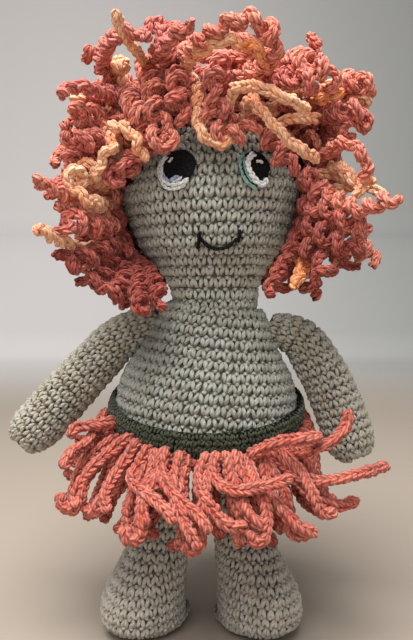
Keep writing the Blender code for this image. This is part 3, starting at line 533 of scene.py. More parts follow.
def carried_frames(line):
    """Two ways across an even path at each of its points, carried along without twist."""
    ahead = np.gradient(line, axis=0)
    ahead /= np.linalg.norm(ahead, axis=1, keepdims=True) + 1e-12
    start = np.array((0, 0, 1.0)) if abs(ahead[0, 2]) < 0.9 else np.array((0, 1.0, 0))
    across = [start - ahead[0] * (ahead[0] @ start)]
    across[0] /= np.linalg.norm(across[0])
    for way in ahead[1:]:
        flat = across[-1] - way * (way @ across[-1])
        across.append(flat / (np.linalg.norm(flat) + 1e-12))
    across = np.array(across)
    return ahead, across, np.cross(ahead, across)
def crochet_cord(skein, points, radius, pitch=CORD_PITCH, out=None, wide=1.0, sides=6, roll=0.0):
    """Cord of slip stitches along a path; out, where given, is the way its flat face looks."""
    line, run = curve(points, CORD_STEP)
    ahead, across, over = carried_frames(line)
    if out is not None:
        over = np.broadcast_to(np.array(out, float), ahead.shape)
        over = unit(over - ahead * (ahead * over).sum(axis=1, keepdims=True))
        across = np.cross(over, ahead)
    length = run[-1]
    count = max(2, int(round(length / pitch)))
    pitch = length / count
    column, centre = np.divmod(np.arange(LOBE_COLUMNS * count), count)
    centre = (centre + 0.25 * (column % 2) + 0.35) * pitch
    kept = centre < length - pitch * 0.25
    centre, column = centre[kept], column[kept]
    total = len(centre)
    slant = np.where(column % 2 == 0, 1.0, -1.0)[:, None] * LOBE_SLANT
    angle = (column * 2 * math.pi / LOBE_COLUMNS + math.pi / LOBE_COLUMNS + roll)[:, None]
    angle = angle + slant * LOBE_AT + chance.normal(0, 0.14, (total, 1))
    at = centre[:, None] + LOBE_AT * LOBE_HALF_LENGTH * pitch + chance.normal(0, 0.22 * MM, (total, 1))
    at = np.clip(at, 0, length)
    to_tip = np.clip((length - at) / radius, 0, 1)
    taper = np.sqrt(np.clip(1 - (1 - to_tip) ** 2, 0.08, 1))
    lobe = radius * LOBE_SHARE
    size = chance.uniform(0.86, 1.14, (total, 1))
    reach = (radius - lobe) * LOBE_DEPTH * taper * size
    spot, way_x, way_y = (read_off(at, run, rows) for rows in (line, across, over))
    outward = way_x * (np.cos(angle) * wide)[..., None] + way_y * np.sin(angle)[..., None]
    paths = spot + outward * reach[..., None]
    radii = lobe * LOBE_RADIUS * size * (0.6 + 0.4 * taper)
    # Painted shade at the lobe ends, times a random tone
    tones = LOBE_END_SHADE * chance.uniform(0.7, 1.05, (total, 1))
    skein.tubes(paths, radii, outward[:, 2], tones, sides)
    # Core: a tube in the inside colour, painted in deep shade, seen between the lobes
    inner = line[::2] if len(line) > 7 else line
    core = np.full((1, len(inner)), radius * CORE_SHARE)
    core[0, -1] *= 0.5
    skein.tubes(inner[None], core, np.array([[0.3, 0.5, 0.8]]), np.full((1, len(inner)), 0.1), kind=1)


def make_cord(name, path, colour, radius, body="head", roll=0.0, node=None):
    """One cord as a piece of its own."""
    skein = Skein()
    crochet_cord(skein, path, radius, roll=roll)
    skein.piece(name, body, *YARNS[colour], node=node)


def any_turn():
    return chance.uniform(0, 6.28)


def in_mm(pairs):
    """Points (radius, height) given in mm."""
    return [(radius * MM, height * MM) for radius, height in pairs]


# Head: a sphere drawn in to the neck, in mm above the middle of the neck's ball
HEAD_RADIUS = 43.8 * MM
NECK_BALL = 21.5 * MM
CHEEKS = ((40.2, 35.0), (35.8, 23.9), (30.6, 17.0), (25.3, 9.7), (22.4, 3.2))
HEAD_STITCHES_START = 18 * MM
# Face: half width and half height of the part of the head that is stitched; its middle, its back and the
# height under which the stitches go all round
FACE_RIM = (45.5, 56)
FACE_MIDDLE = 25
FACE_BACK = 4
CHIN_TOP = 22
FACE_SQUARENESS = 2.6


def head_outline():
    return arc(HEAD_RADIUS, HEAD_RISE, 90, 0, 12) + in_mm(CHEEKS) + arc(NECK_BALL, 0, -4, -50, 6)


def in_face(spots, width, height):
    """Whether points of the head lie inside the face, a rounded oblong about its front."""
    x, y, z = (np.array(HEAD_FRAME.inverted().to_3x3()) @ (spots - np.array(NECK)).T) / MM
    inside = np.abs(x / width) ** FACE_SQUARENESS + np.abs((z - FACE_MIDDLE) / height) ** FACE_SQUARENESS < 1
    return inside & (y < FACE_BACK) | (z < CHIN_TOP)


def make_head():
    surface, length = turned_surface(head_outline(), HEAD_FRAME)
    make_cover("head", surface, HEAD_STITCHES_START, length, HEAD_STITCH_WIDTH, HEAD_STITCH_HEIGHT, HEAD_COTTON,
               rim=FACE_RIM)


# Torso: from the neck's rim over the sloping shoulders to the seat, in mm about the belly's middle
BELLY_RADIUS = 45 * MM
SHOULDERS = ((21.9, 52.0), (24.9, 49.4), (27.6, 45.2), (30.4, 38.5), (33.5, 31.7))
SEAT = ((36.7, -23.0), (26.9, -25.0), (12.0, -25.5))


def make_torso():
    surface, length = turned_surface(in_mm(SHOULDERS) + arc(BELLY_RADIUS, 0, 35, -25, 10) + in_mm(SEAT), TORSO_FRAME)
    make_cover("torso", surface, 1.5 * MM, length, STITCH_WIDTH, STITCH_HEIGHT, BODY_COTTON)

# Legs: share of the hip's height, share of the swell into the foot; the top is domed to swing under the seat
HIP_RISE = 76.5 * MM
LEG_RADIUS = 14.3 * MM
FOOT_HALF_WIDTH = 20 * MM
FOOT_HALF_LENGTH = 26.5 * MM
FOOT_FORWARD = 9 * MM
FOOT_OUT = 5.5 * MM
FOOT_SPLAY = math.radians(18)
FOOT_SWELL = 12 * MM
LEG_SHARES = ((0.985, -0.75), (0.965, -0.3), (0.94, 0.0), (0.88, 0.02), (0.74, 0.0), (0.56, 0.08),
              (0.43, 0.32), (0.32, 0.64), (0.22, 0.91), (0.13, 1.0), (0.045, 0.93), (0.005, 0.72))
SOLE_SWELLS = (0.5, -0.2, -0.9)
SOLE_SHIFT = 0.72


def make_leg(side, word):
    hip = Vector(JOINTS[word + "_leg_swing"]["pos_m"])
    rows = [(up * HIP_RISE, swell * FOOT_SWELL, swell, max(swell, 0)) for up, swell in LEG_SHARES]
    rows += [(0.0, swell * FOOT_SWELL, swell, SOLE_SHIFT) for swell in SOLE_SWELLS]
    line, run = curve(rows, 0.5 * MM, slice(0, 2))
    cos, sin = math.cos(side * FOOT_SPLAY), math.sin(side * FOOT_SPLAY)

    def surface(down, turn):
        height, _, swell, shift = (np.interp(down, run, column) for column in line.T)
        across = LEG_RADIUS + (FOOT_HALF_WIDTH - LEG_RADIUS) * swell
        along = LEG_RADIUS + (FOOT_HALF_LENGTH - LEG_RADIUS) * swell
        x = across * np.sin(turn)
        y = -along * np.cos(turn) - FOOT_FORWARD * shift
        spots = np.stack([x * cos - y * sin + side * FOOT_OUT * shift, x * sin + y * cos, height], axis=-1)
        return spots + np.array((hip.x, hip.y, 0))

    make_cover(word + "_leg", surface, 2 * MM, run[-1], STITCH_WIDTH, LEG_STITCH_HEIGHT, LEG_COTTON)

# Arms: reach and drop of each spine from the shoulder, and the girth along it
ARM_SPINES = {
    "right": (64, 62, ((0.0, 0.0), (0.2, 0.148), (0.375, 0.325), (0.575, 0.547), (0.79, 0.79), (1.0, 1.0))),
    "left": (37.2, 65, ((0.0, 0.0), (0.27, 0.07), (0.55, 0.3), (0.69, 0.457), (0.82, 0.643), (0.925, 0.827),
                        (1.0, 1.0))),
}
ARM_FORWARD = 3
ARM_RADIUS = 12.9 * MM
ARM_GIRTHS = ((0.0, 0.6), (0.045, 0.66), (0.1, 0.74), (0.2, 0.84), (0.34, 0.92), (0.52, 0.97), (0.72, 1.0),
              (0.84, 0.99), (0.91, 0.9), (0.96, 0.7), (0.99, 0.42), (1.003, 0.16))
ARM_ROOT = 6
ARM_COLUMNS = 32


def make_arm(side, word):
    shoulder = Vector(JOINTS[word + "_arm_raise"]["pos_m"])
    reach, drop, shares = ARM_SPINES[word]
    spine = [(side * reach * MM * out, -ARM_FORWARD * MM * out * out, -drop * MM * down) for out, down in shares]
    spine[0] = (-side * ARM_ROOT * MM, 0, 0.25 * ARM_ROOT * MM)
    line, run = curve(spine, 0.5 * MM)
    girth, _ = curve(ARM_GIRTHS, 0.004, slice(0, 1))
    ahead = np.gradient(line, axis=0)
    ahead /= np.linalg.norm(ahead, axis=1, keepdims=True)
    length = run[-1]

    def surface(down, turn):
        way = read_off(down, run, ahead)
        way /= np.linalg.norm(way, axis=-1, keepdims=True)
        past = np.maximum(down - length, 0)[..., None]
        front = np.array((0, -1.0, 0))
        front = front - way * (way @ front)[..., None]
        front /= np.linalg.norm(front, axis=-1, keepdims=True)
        across = np.cross(front, way)
        radius = ARM_RADIUS * np.interp(down / length, girth[:, 0], girth[:, 1])[..., None]
        rim = across * np.sin(turn)[..., None] + front * np.cos(turn)[..., None]
        return read_off(down, run, line) + way * past + rim * radius + np.array(shoulder)

    make_cover(word + "_arm", surface, 0.5 * MM, length * 1.005, STITCH_WIDTH, ARM_STITCH_HEIGHT, HAND_COTTON,
               ARM_COLUMNS)


# Whip stitches round the shoulder: how far out of it and how far turned each point of a stitch lies
WHIP_STITCHES = 14
WHIP_REACH = 6.2 * MM
WHIP_RADIUS = 0.7 * MM
WHIP_LINE = ((-2.2, -0.12), (-0.6, -0.04), (1.0, 0.06), (2.4, 0.14))


def make_shoulder_stitches(side, word):
    """Whip stitches that sew the arm on."""
    shoulder = np.array(JOINTS[word + "_arm_raise"]["pos_m"])
    skein = Skein()
    for turn in np.linspace(0, 2 * math.pi, WHIP_STITCHES, endpoint=False):
        spots = [shoulder + np.array((side * lift * MM, WHIP_REACH * math.cos(turn + twist),
                                      WHIP_REACH * math.sin(turn + twist))) for lift, twist in WHIP_LINE]
        skein.tubes(np.array([spots]), np.full((1, 4), WHIP_RADIUS), np.array([[0.2, 0.3, 1.0]]),
                    np.full((1, 4), 0.8))
    node = word + "_shoulder_stitches"
    skein.piece(word + "_whip_stitches", frame["nodes"][node]["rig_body"], "grey_beige_yarn", HAND_COTTON, node=node)

# Hair, as in the frame: rings of cord ends in degrees, and how far they stand out
HAIR_CORD_RADIUS = 2.55 * MM
HAIR_REACH = 80 * MM
HAIR_DROOP = math.radians(9)
HAIR_WAVE = math.radians(4)
HAIR_WAVE_HALVES = 1.4
CAP_TOP = 3 * MM
SEAM_LIFT = 1.4 * MM
HAIR_RING_ANGLES = (
    ("crown", 76, (45, 135, 225, 315)),
    ("top", 54, (22, 67, 112, 157, 202, 247, 292, 338)),
    ("upper", 33, (48, 75, 107, 139, 170, 190, 221, 253, 285, 312)),
    ("middle", 8, (67, 93, 119, 145, 170, 190, 215, 241, 267, 293)),
    ("lower", -15, (88, 114, 140, 166, 194, 220, 246, 272)),
    ("nape", -36, (107, 136, 165, 195, 224, 253)),
)
HAIR_REACH_SHARES = {
    "crown": (1.06, 1.02, 1.04, 1.08),
    "top": (1.12, 1.1, 1.04, 1.0, 1.0, 1.04, 1.12, 1.12),
    "upper": (0.84, 1.06, 1.02, 0.98, 0.96, 0.96, 0.98, 0.96, 0.98, 0.84),
    "middle": (0.92, 1.06, 1.02, 0.98, 0.94, 0.94, 0.96, 0.96, 0.94, 0.88),
    "lower": (1.06, 1.0, 0.96, 0.92, 0.92, 0.94, 0.96, 0.92),
    "nape": (0.9, 0.86, 0.84, 0.84, 0.86, 0.9),
}
PEACH_LOCKS = ("upper_1", "middle_1", "lower_3")


def direction(azimuth, elevation):
    level = math.cos(elevation)
    return np.array((math.sin(azimuth) * level, -math.cos(azimuth) * level, math.sin(elevation)))


def direction_from(middle, spots):
    ways = spots - np.array(middle)
    return ways / np.linalg.norm(ways, axis=-1, keepdims=True)


HEAD_SPIN = np.array(HEAD_FRAME.to_3x3())
HEAD_LINE = np.array([(radius, height - HEAD_RISE) for radius, height in head_outline()])
HEAD_TILTS = np.arctan2(HEAD_LINE[:, 1], HEAD_LINE[:, 0])
HEAD_REACHES = np.hypot(HEAD_LINE[:, 0], HEAD_LINE[:, 1])


def cap_reach(elevation):
    """Distance from the skull's middle to the outside of the cap."""
    return float(np.interp(elevation, HEAD_TILTS[::-1], HEAD_REACHES[::-1])) + CAP_TOP


def from_skull(azimuth, elevation, reach):
    return HEAD_SPIN @ (direction(azimuth, elevation) * reach) + np.array(SKULL)


def corkscrew(spine, swing, pitch, phase, lead=6 * MM):
    """Wind a path round a spine, opening from nothing over a short lead."""
    line, run = curve(spine, 0.8 * MM)
    _, across, over = carried_frames(line)
    wide = swing * np.clip(run / lead, 0, 1)
    turn = phase + 2 * math.pi * run / pitch
    return line + across * (np.cos(turn) * wide)[:, None] + over * (np.sin(turn) * wide)[:, None]


def hair_spine(azimuth, elevation, reach, wave, droop, points=9):
    root = cap_reach(elevation) + HAIR_CORD_RADIUS * 0.6
    spots = []
    for t in np.linspace(0, 1, points):
        tilt = elevation - droop * t * t * math.cos(elevation)
        turn = azimuth + wave * math.sin(HAIR_WAVE_HALVES * math.pi * t)
        spots.append(from_skull(turn, tilt, root + (reach - root) * t))
    return np.array(spots)


def make_locks():
    """The cords of the frame, each sewn on at its middle so that both of its ends stand out."""
    for ring, tilt, azimuths in HAIR_RING_ANGLES:
        elevation = math.radians(tilt)
        for pair in range(len(azimuths) // 2):
            lock = "%s_%d" % (ring, pair + 1)
            peach = lock in PEACH_LOCKS
            ends = []
            for k in (2 * pair, 2 * pair + 1):
                wave = HAIR_WAVE * (1 if k % 2 else -1)
                reach = HAIR_REACH * HAIR_REACH_SHARES[ring][k]
                spine = hair_spine(math.radians(azimuths[k]), elevation, reach, wave, HAIR_DROOP)
                if not peach:
                    spine = corkscrew(spine, chance.uniform(3.3, 4.0) * MM, chance.uniform(7.5, 9.5) * MM, any_turn())
                ends.append(spine)
            first, second = math.radians(azimuths[2 * pair]), math.radians(azimuths[2 * pair + 1])
            seam = [from_skull(first + (second - first) * share, elevation, cap_reach(elevation) + SEAM_LIFT)
                    for share in (0.25, 0.5, 0.75)]
            path = np.concatenate([ends[0][::-1], seam, ends[1]])
            colour = "peach" if peach else "rose" if pair % 2 else "coral"
            make_cord("hair_cord_" + lock, path, colour, HAIR_CORD_RADIUS * (1.12 if peach else 1.0),
                      node="hair_" + lock)


# Curls between the frame's locks. Their roots wind down over the cap, by the sine of the elevation from the
# top one; about one in three is left out. Angles in radians, as seen from the skull's middle.
CURL_ROOTS = 500
CURL_TOP = 0.985
CURL_DESCENT = 1.62
CURLS_LEFT_OUT = 0.36
PEACH_CURLS = 0.12
# Inner, middle and outer curls: share of the hair's reach, swing and pitch of the curl in mm
CURL_LAYERS = ((0.72, 4.0, 7.0), (0.82, 3.4, 8.0), (0.92, 2.4, 9.5))
# The hair starts behind this turn from the front, and over the crown anywhere
TEMPLE_TURN = 1.5
BROW_ELEVATION = 0.35
CROWN_ELEVATION = 0.95
EAR_ELEVATION = -0.1
EAR_TURN = 1.62
# Low curls stop short of the shoulders, which they pass when the head turns
LOW_ELEVATION = -0.3
LOW_REACH = 0.86
LOW_DROOP = 0.4


def over_face(side, elevation):
    """Whether a root at this turn from the front would lie on the face or under the ear."""
    brow = 1.24 - 0.5 * math.sin(elevation) if elevation > BROW_ELEVATION else TEMPLE_TURN
    return (elevation < CROWN_ELEVATION and abs(side) < brow) or (elevation < EAR_ELEVATION and abs(side) < EAR_TURN)


def make_fillers():
    """More cords between the frame's, rooted on the cap, curls of every kind."""
    golden = math.pi * (3 - math.sqrt(5))
    made = 0
    for i in range(CURL_ROOTS):
        elevation = math.asin(CURL_TOP - CURL_DESCENT * (i + 0.5) / CURL_ROOTS)
        azimuth = (i * golden + chance.normal(0, 0.1)) % (2 * math.pi)
        side = azimuth if azimuth < math.pi else azimuth - 2 * math.pi
        if over_face(side, elevation) or chance.random() < CURLS_LEFT_OUT:
            continue
        made += 1
        outer = made % 3
        share, swing, pitch = CURL_LAYERS[outer]
        reach = HAIR_REACH * (share + chance.uniform(0, 0.11))
        wave = chance.uniform(-1, 1) * 0.22
        droop = chance.uniform(0.05, 0.5)
        if elevation < LOW_ELEVATION:
            reach *= LOW_REACH
            droop *= LOW_DROOP
        spine = hair_spine(azimuth, elevation, reach, wave, droop)
        kind = chance.random()
        # Low and inner curls take the coral painted in shade
        low = elevation < chance.uniform(-0.25, 0.35)
        deep = low or (not outer and elevation < 0.8)
        colour = "peach" if kind < PEACH_CURLS else "shaded_coral" if deep else "rose" if kind < 0.45 else "coral"
        if colour == "peach":
            path = corkscrew(spine, chance.uniform(0.3, 1.8) * MM, chance.uniform(14, 24) * MM, any_turn())
        else:
            path = corkscrew(spine, (swing + chance.uniform(-0.6, 0.8)) * MM,
                             (pitch + chance.uniform(-0.5, 3.0)) * MM, any_turn())
        make_cord("hair_curl_%03d" % made, path, colour, HAIR_CORD_RADIUS * chance.uniform(0.88, 1.06))

def sight(px, py):
    """Way from the camera through a pixel of the photograph."""
    way = Matrix.Rotation(math.pi / 2 - CAMERA_DIP, 3, "X") @ Vector(
        ((px - PHOTO_WIDTH / 2) / FOCAL_PX, (PHOTO_HEIGHT / 2 - py) / FOCAL_PX, -1))
    return np.array(way.normalized())


def seen_round(px, py, reach, middle, flat=False):
    """Nearest point at a distance from a middle, or from the upright line through it, along a sight."""
    way, eye = sight(px, py), np.array(CAMERA_SPOT)
    seen = np.array((1, 1, 0 if flat else 1.0))
    gap = (eye - np.array(middle)) * seen
    slope = way * seen
    a, b, c = slope @ slope, gap @ slope, gap @ gap - reach * reach
    inside = b * b - a * c
    return eye + way * (-b - math.sqrt(max(inside, 0))) / a


# Cords that show one by one in the photograph: colour, how many times the curl, then pixel x, y and
# the distance from the skull's middle in mm. The darkest coral is the coral yarn painted in shade.
HERO_CORDS = {
    "upright": ("peach", 0.0, ((152, 78, 58), (145, 62, 72), (135, 49, 82), (124, 35, 92), (118, 22, 98),
                               (116, 10, 103))),
    "arch_by_upright": ("rose", 0.5, ((112, 82, 60), (104, 72, 74), (104, 50, 86), (117, 36, 92), (136, 31, 92),
                                      (146, 42, 88))),
    "top_left": ("rose", 0.4, ((148, 66, 62), (156, 54, 74), (164, 46, 82), (176, 32, 90), (192, 26, 94))),
    "big_arch": ("coral", 0.6, ((176, 66, 60), (188, 52, 76), (205, 38, 88), (225, 25, 95), (248, 18, 98),
                                (266, 24, 98), (273, 40, 94), (272, 56, 86), (260, 68, 76), (240, 74, 66))),
    "peach_arch": ("peach", 0.2, ((184, 72, 64), (192, 58, 76), (210, 45, 86), (228, 40, 90), (243, 45, 90))),
    "amber_end": ("amber", 0.2, ((266, 74, 62), (266, 64, 80), (260, 53, 87), (251, 45, 90), (241, 42, 90))),
    "brow_stem": ("rose", 0.6, ((222, 62, 72), (214, 76, 72), (213, 92, 68), (219, 108, 62), (228, 120, 56),
                                (236, 128, 53))),
    "brow_curl": ("coral", 0.8, ((210, 106, 60), (210, 120, 58), (216, 131, 57), (230, 135, 57), (246, 131, 57),
                                 (258, 120, 58), (262, 112, 56))),
    "brow_peach": ("peach", 0.2, ((199, 88, 62), (196, 104, 60), (197, 122, 58), (203, 134, 57), (212, 142, 55),
                                  (226, 143, 55), (232, 136, 54))),
    "crossing_peach": ("peach", 0.1, ((232, 92, 66), (244, 86, 72), (262, 88, 76), (280, 96, 78), (296, 103, 76),
                                      (307, 110, 72))),
    "long_peach": ("peach", 0.1, ((250, 98, 64), (262, 112, 66), (276, 128, 66), (292, 143, 66), (306, 152, 66),
                                  (318, 160, 64))),
    "right_shoulder_curl": ("rose", 0.8, ((268, 134, 54), (276, 150, 54), (288, 164, 54), (300, 166, 56))),
    "top_right": ("coral", 0.9, ((278, 72, 62), (292, 60, 74), (310, 62, 82), (326, 72, 84), (332, 84, 80))),
    "top_right_below": ("rose", 0.9, ((270, 84, 62), (288, 78, 72), (304, 80, 76), (318, 90, 76))),
    "right_ball": ("coral", 0.9, ((322, 96, 66), (338, 88, 78), (352, 80, 86), (362, 84, 88), (364, 92, 86))),
    "right_amber": ("amber", 0.2, ((310, 102, 64), (322, 98, 72), (334, 94, 78), (344, 92, 82))),
    "right_peach": ("peach", 0.2, ((330, 98, 70), (346, 97, 78), (360, 98, 84), (370, 104, 86))),
    "right_lobe": ("rose", 0.9, ((316, 116, 62), (334, 112, 72), (350, 110, 80), (362, 112, 84), (360, 124, 80),
                                 (344, 130, 74))),
    "right_loop": ("coral", 0.3, ((330, 150, 66), (338, 144, 74), (350, 144, 80), (362, 154, 84), (366, 168, 84),
                                  (362, 178, 82))),
    "right_peach_end": ("peach", 0.2, ((338, 166, 66), (350, 176, 74), (358, 188, 78), (356, 198, 78))),
    "right_edge_peach": ("peach", 0.2, ((352, 186, 72), (364, 178, 80), (372, 184, 84))),
    "right_tip": ("coral", 0.6, ((330, 196, 66), (348, 206, 78), (364, 208, 86), (380, 202, 94), (396, 197, 102))),
    "right_low": ("rose", 0.9, ((322, 206, 62), (342, 216, 74), (360, 226, 82), (372, 230, 86))),
    "right_lower": ("shaded_coral", 0.9, ((312, 226, 60), (330, 240, 72), (350, 250, 80), (362, 246, 82))),
    "right_nape": ("shaded_coral", 0.9, ((302, 244, 58), (316, 258, 68), (326, 270, 76), (318, 282, 78))),
    "right_nape_end": ("shaded_coral", 0.4, ((292, 246, 52), (284, 262, 58), (274, 280, 66), (266, 296, 74))),
    "amber_nape": ("amber", 0.3, ((304, 262, 60), (300, 274, 66), (296, 286, 72))),
    "left_tip": ("rose", 0.3, ((118, 106, 64), (104, 94, 74), (88, 88, 84), (70, 88, 92), (58, 95, 98))),
    "left_peach_ball": ("peach", 0.8, ((100, 104, 66), (88, 98, 74), (78, 94, 80), (74, 104, 80))),
    "left_peach_tuft": ("peach", 0.5, ((126, 88, 62), (118, 76, 70), (118, 64, 76), (124, 68, 76))),
    "left_high": ("coral", 0.9, ((108, 124, 60), (94, 116, 72), (80, 112, 80), (72, 122, 80))),
    "left_high_two": ("rose", 0.9, ((110, 142, 60), (94, 140, 72), (78, 142, 80), (70, 134, 82))),
    "temple_peach": ("peach", 0.3, ((108, 132, 66), (120, 126, 68), (132, 134, 66), (140, 148, 62), (144, 160, 58))),
    "temple_peach_two": ("peach", 0.4, ((114, 138, 66), (110, 150, 68), (102, 160, 70), (96, 170, 70),
                                        (100, 178, 68))),
    "temple_fill": ("rose", 0.9, ((152, 142, 54), (144, 148, 56), (136, 156, 57), (130, 164, 56), (128, 170, 54))),
    "temple_ball": ("coral", 0.9, ((138, 132, 58), (152, 138, 60), (168, 140, 58), (172, 150, 55))),
    "temple_curl": ("rose", 0.9, ((106, 166, 62), (114, 176, 62), (124, 172, 60), (122, 160, 60))),
    "temple_stem": ("coral", 0.9, ((146, 70, 62), (154, 86, 66), (152, 104, 66), (158, 120, 62), (170, 128, 56))),
    "temple_stem_two": ("rose", 0.9, ((168, 66, 64), (178, 82, 68), (176, 100, 66), (182, 116, 60), (190, 122, 55))),
    "temple_stem_three": ("coral", 0.9, ((128, 92, 62), (134, 108, 66), (142, 122, 64), (150, 134, 58))),
    "left_peach_low": ("peach", 0.9, ((92, 172, 70), (80, 168, 76), (74, 178, 80), (82, 186, 78))),
    "left_peach_end": ("peach", 0.5, ((92, 202, 72), (80, 196, 78), (72, 190, 82))),
    "left_coral_tip": ("coral", 0.3, ((74, 200, 76), (60, 192, 86), (46, 186, 94), (33, 179, 102))),
    "left_peach_tip": ("peach", 0.3, ((84, 250, 72), (68, 244, 82), (52, 236, 92), (38, 228, 100))),
    "left_low": ("rose", 0.9, ((98, 228, 66), (82, 224, 76), (68, 220, 84), (62, 232, 86))),
    "left_lower": ("shaded_coral", 0.9, ((104, 250, 66), (86, 258, 78), (68, 264, 86), (62, 254, 88))),
    "left_mass": ("shaded_coral", 0.9, ((112, 258, 60), (104, 274, 70), (92, 284, 80), (82, 276, 82))),
    "left_mass_two": ("shaded_coral", 0.9, ((124, 266, 56), (124, 284, 68), (112, 294, 78), (102, 288, 80))),
    "left_nape": ("shaded_coral", 0.8, ((135, 268, 52), (139, 286, 64), (139, 300, 74), (145, 308, 78))),
    "left_nape_two": ("shaded_coral", 0.8, ((147, 272, 50), (155, 286, 60), (159, 298, 68), (155, 306, 72))),
    "cheek_fringe": ("coral", 0.9, ((106, 196, 56), (98, 208, 60), (104, 220, 58), (112, 230, 54))),
    "cheek_fringe_two": ("shaded_coral", 0.9, ((112, 220, 54), (106, 236, 58), (114, 248, 58), (124, 256, 54))),
    "ear_fringe": ("rose", 0.9, ((308, 178, 54), (320, 190, 60), (316, 206, 60), (312, 216, 56))),
    "ear_fringe_two": ("shaded_coral", 0.9, ((310, 206, 56), (324, 216, 62), (320, 232, 62), (310, 240, 58))),
}
CURL_SWING = 3.4 * MM
BEHIND_FACE = math.radians(83)
BROW_HAIR = 0.55
LOWEST_ROOT = -0.6
ROOT_GAP = 6 * MM

# Short curls along the edge of the face: elevation in degrees, reach in mm and colour, on both sides; the darkest
# coral is painted shade
EDGE_CURLS = ((22, 62, "coral"), (12, 64, "shaded_coral"), (2, 63, "rose"), (-8, 62, "coral"), (-18, 62, "shaded_coral"),
              (-29, 60, "rose"), (-40, 58, "shaded_coral"), (-51, 56, "shaded_coral"))
EDGE_TURN = math.radians(88)
def make_edge_curls():
    for side, word in SIDES:
        for i, (tilt, reach, colour) in enumerate(EDGE_CURLS):
            turn = side * EDGE_TURN + chance.normal(0, 0.03)
            spine = hair_spine(turn, math.radians(tilt + chance.uniform(-3, 3)), reach * MM, 0.05, 0.1)
            path = corkscrew(spine, 3.2 * MM, 7.0 * MM, any_turn(), 3 * MM)
            make_cord("%s_edge_curl_%d" % (word, i + 1), path, colour, HAIR_CORD_RADIUS)


def make_heroes():
    for name, (colour, curl, spots) in HERO_CORDS.items():
        spine = [seen_round(px, py, reach * MM, SKULL) for px, py, reach in spots]
        way = spine[0] - np.array(SKULL)
        way /= np.linalg.norm(way)
        local = HEAD_SPIN.T @ way
        elevation = math.asin(local[2])
        azimuth = math.atan2(local[0], -local[1])
        if elevation < BROW_HAIR:
            azimuth = math.copysign(max(abs(azimuth), BEHIND_FACE), azimuth)
        base = [from_skull(azimuth, elevation, cap_reach(max(elevation, LOWEST_ROOT)))]
        if np.linalg.norm(spine[0] - base[0]) > ROOT_GAP:
            base.append((base[0] + spine[0]) / 2)
        spine = np.array(base + spine)
        if curl > 0:
            spine = corkscrew(spine, CURL_SWING * curl, chance.uniform(7.5, 10) * MM, any_turn(), 8 * MM)
        make_cord("hair_" + name, spine, colour, HAIR_CORD_RADIUS)


# Cap: where its rim goes under the face's edge, and its stitches, which lie a little proud of it
CAP_RIM = (45.5, 54)
CAP_STITCH_RIM = (44.5, 54.5)
CAP_TUCK = 4.4 * MM
CAP_LIFT = 1.7 * MM
CAP_DEPTH = 28 * MM
CROWN_RADIUS = 20 * MM


def make_cap():
    """Crocheted cap under the hair."""
    skein = Skein()
    # The cap's solid takes the inside colour: painted in deep shade under the stitches
    skein.solid("wig_cap")
    # The rim is tucked under the edge of the face
    rim = skein.points[-1]
    tucked = in_face(rim, *CAP_RIM)
    rim[tucked] -= direction_from(SKULL, rim[tucked]) * CAP_TUCK
    outline = [(radius + CAP_LIFT, height + (CAP_LIFT if radius < CROWN_RADIUS else 0))
               for radius, height in head_outline() if height > HEAD_RISE - CAP_DEPTH]
    surface, length = turned_surface(outline, HEAD_FRAME)
    places = stitch_places(surface, 2 * MM, length, STITCH_WIDTH, STITCH_HEIGHT)
    covered = ~in_face(surface(places[:, 0], places[:, 1]), *CAP_STITCH_RIM)
    single_crochet(skein, surface, places[covered], STITCH_HEIGHT)
    skein.piece("wig_cap_cover", "head", *YARNS["rose"], node="wig_cap")

# Waistband and skirt, in the skirt's frame
BAND_OUTLINE = ((45.6, 7.2), (47.4, 5.2), (48.0, 1.4), (47.5, -2.5), (45.8, -4.9))
BAND_STITCH_WIDTH = 3.3 * MM
BAND_STITCH_HEIGHT = 3.0 * MM
BAND_SINK = 0.9 * MM
HEM_CORD_RADIUS = 2.1 * MM
HEM_RADIUS = 48 * MM
HEM_HEIGHT = -6.5 * MM
STRIP_RADIUS = 2.95 * MM
STRIP_REACH = 27 * MM
STRIP_DROP = 26 * MM
STRIP_SWAY = math.radians(2.2)
GROUPS = 12
STRIPS = 3
FRINGE_SHARES = ((0.95, 1.05), (0.8, 0.9), (1.05, 1.0), (0.85, 1.1), (1.1, 0.75), (0.7, 1.0),
                 (0.42, 0.95), (0.28, 1.05), (0.24, 0.95), (0.24, 1.1), (0.26, 0.95), (0.28, 1.05),
                 (0.34, 0.8), (0.7, 0.95), (0.85, 0.75), (1.05, 1.0), (0.9, 0.85), (1.1, 0.95),
                 (0.9, 1.05), (1.05, 0.8), (0.85, 1.0), (1.1, 0.9), (0.95, 0.75), (0.7, 1.0),
                 (0.5, 0.9), (0.35, 1.05), (0.3, 0.95), (0.28, 1.1), (0.35, 1.0), (0.6, 0.85),
                 (0.85, 1.05), (1.05, 0.8), (0.9, 0.95), (0.8, 1.1), (1.1, 0.85), (0.85, 1.0))
def make_band():
    skein = Skein()
    # The band's solid takes the inside colour: painted in deep shade under the stitches
    skein.solid("waistband")
    surface, length = turned_surface(in_mm(BAND_OUTLINE), SKIRT_FRAME)
    places = stitch_places(surface, 1.2 * MM, length, BAND_STITCH_WIDTH, BAND_STITCH_HEIGHT)
    single_crochet(skein, surface, places, BAND_STITCH_HEIGHT, BAND_SINK)
    skein.piece("waistband_cover", "skirt", "olive_yarn", OLIVE_COTTON, OLIVE_PAINTED_SHADE, node="waistband")

def in_skirt(spots):
    place = np.array(SKIRT_FRAME)
    return np.array(spots) @ place[:3, :3].T + place[:3, 3]
def around_skirt(spots):
    """Points given by their turn, radius and height."""
    return [(radius * math.sin(a), -radius * math.cos(a), height) for a, radius, height in spots]

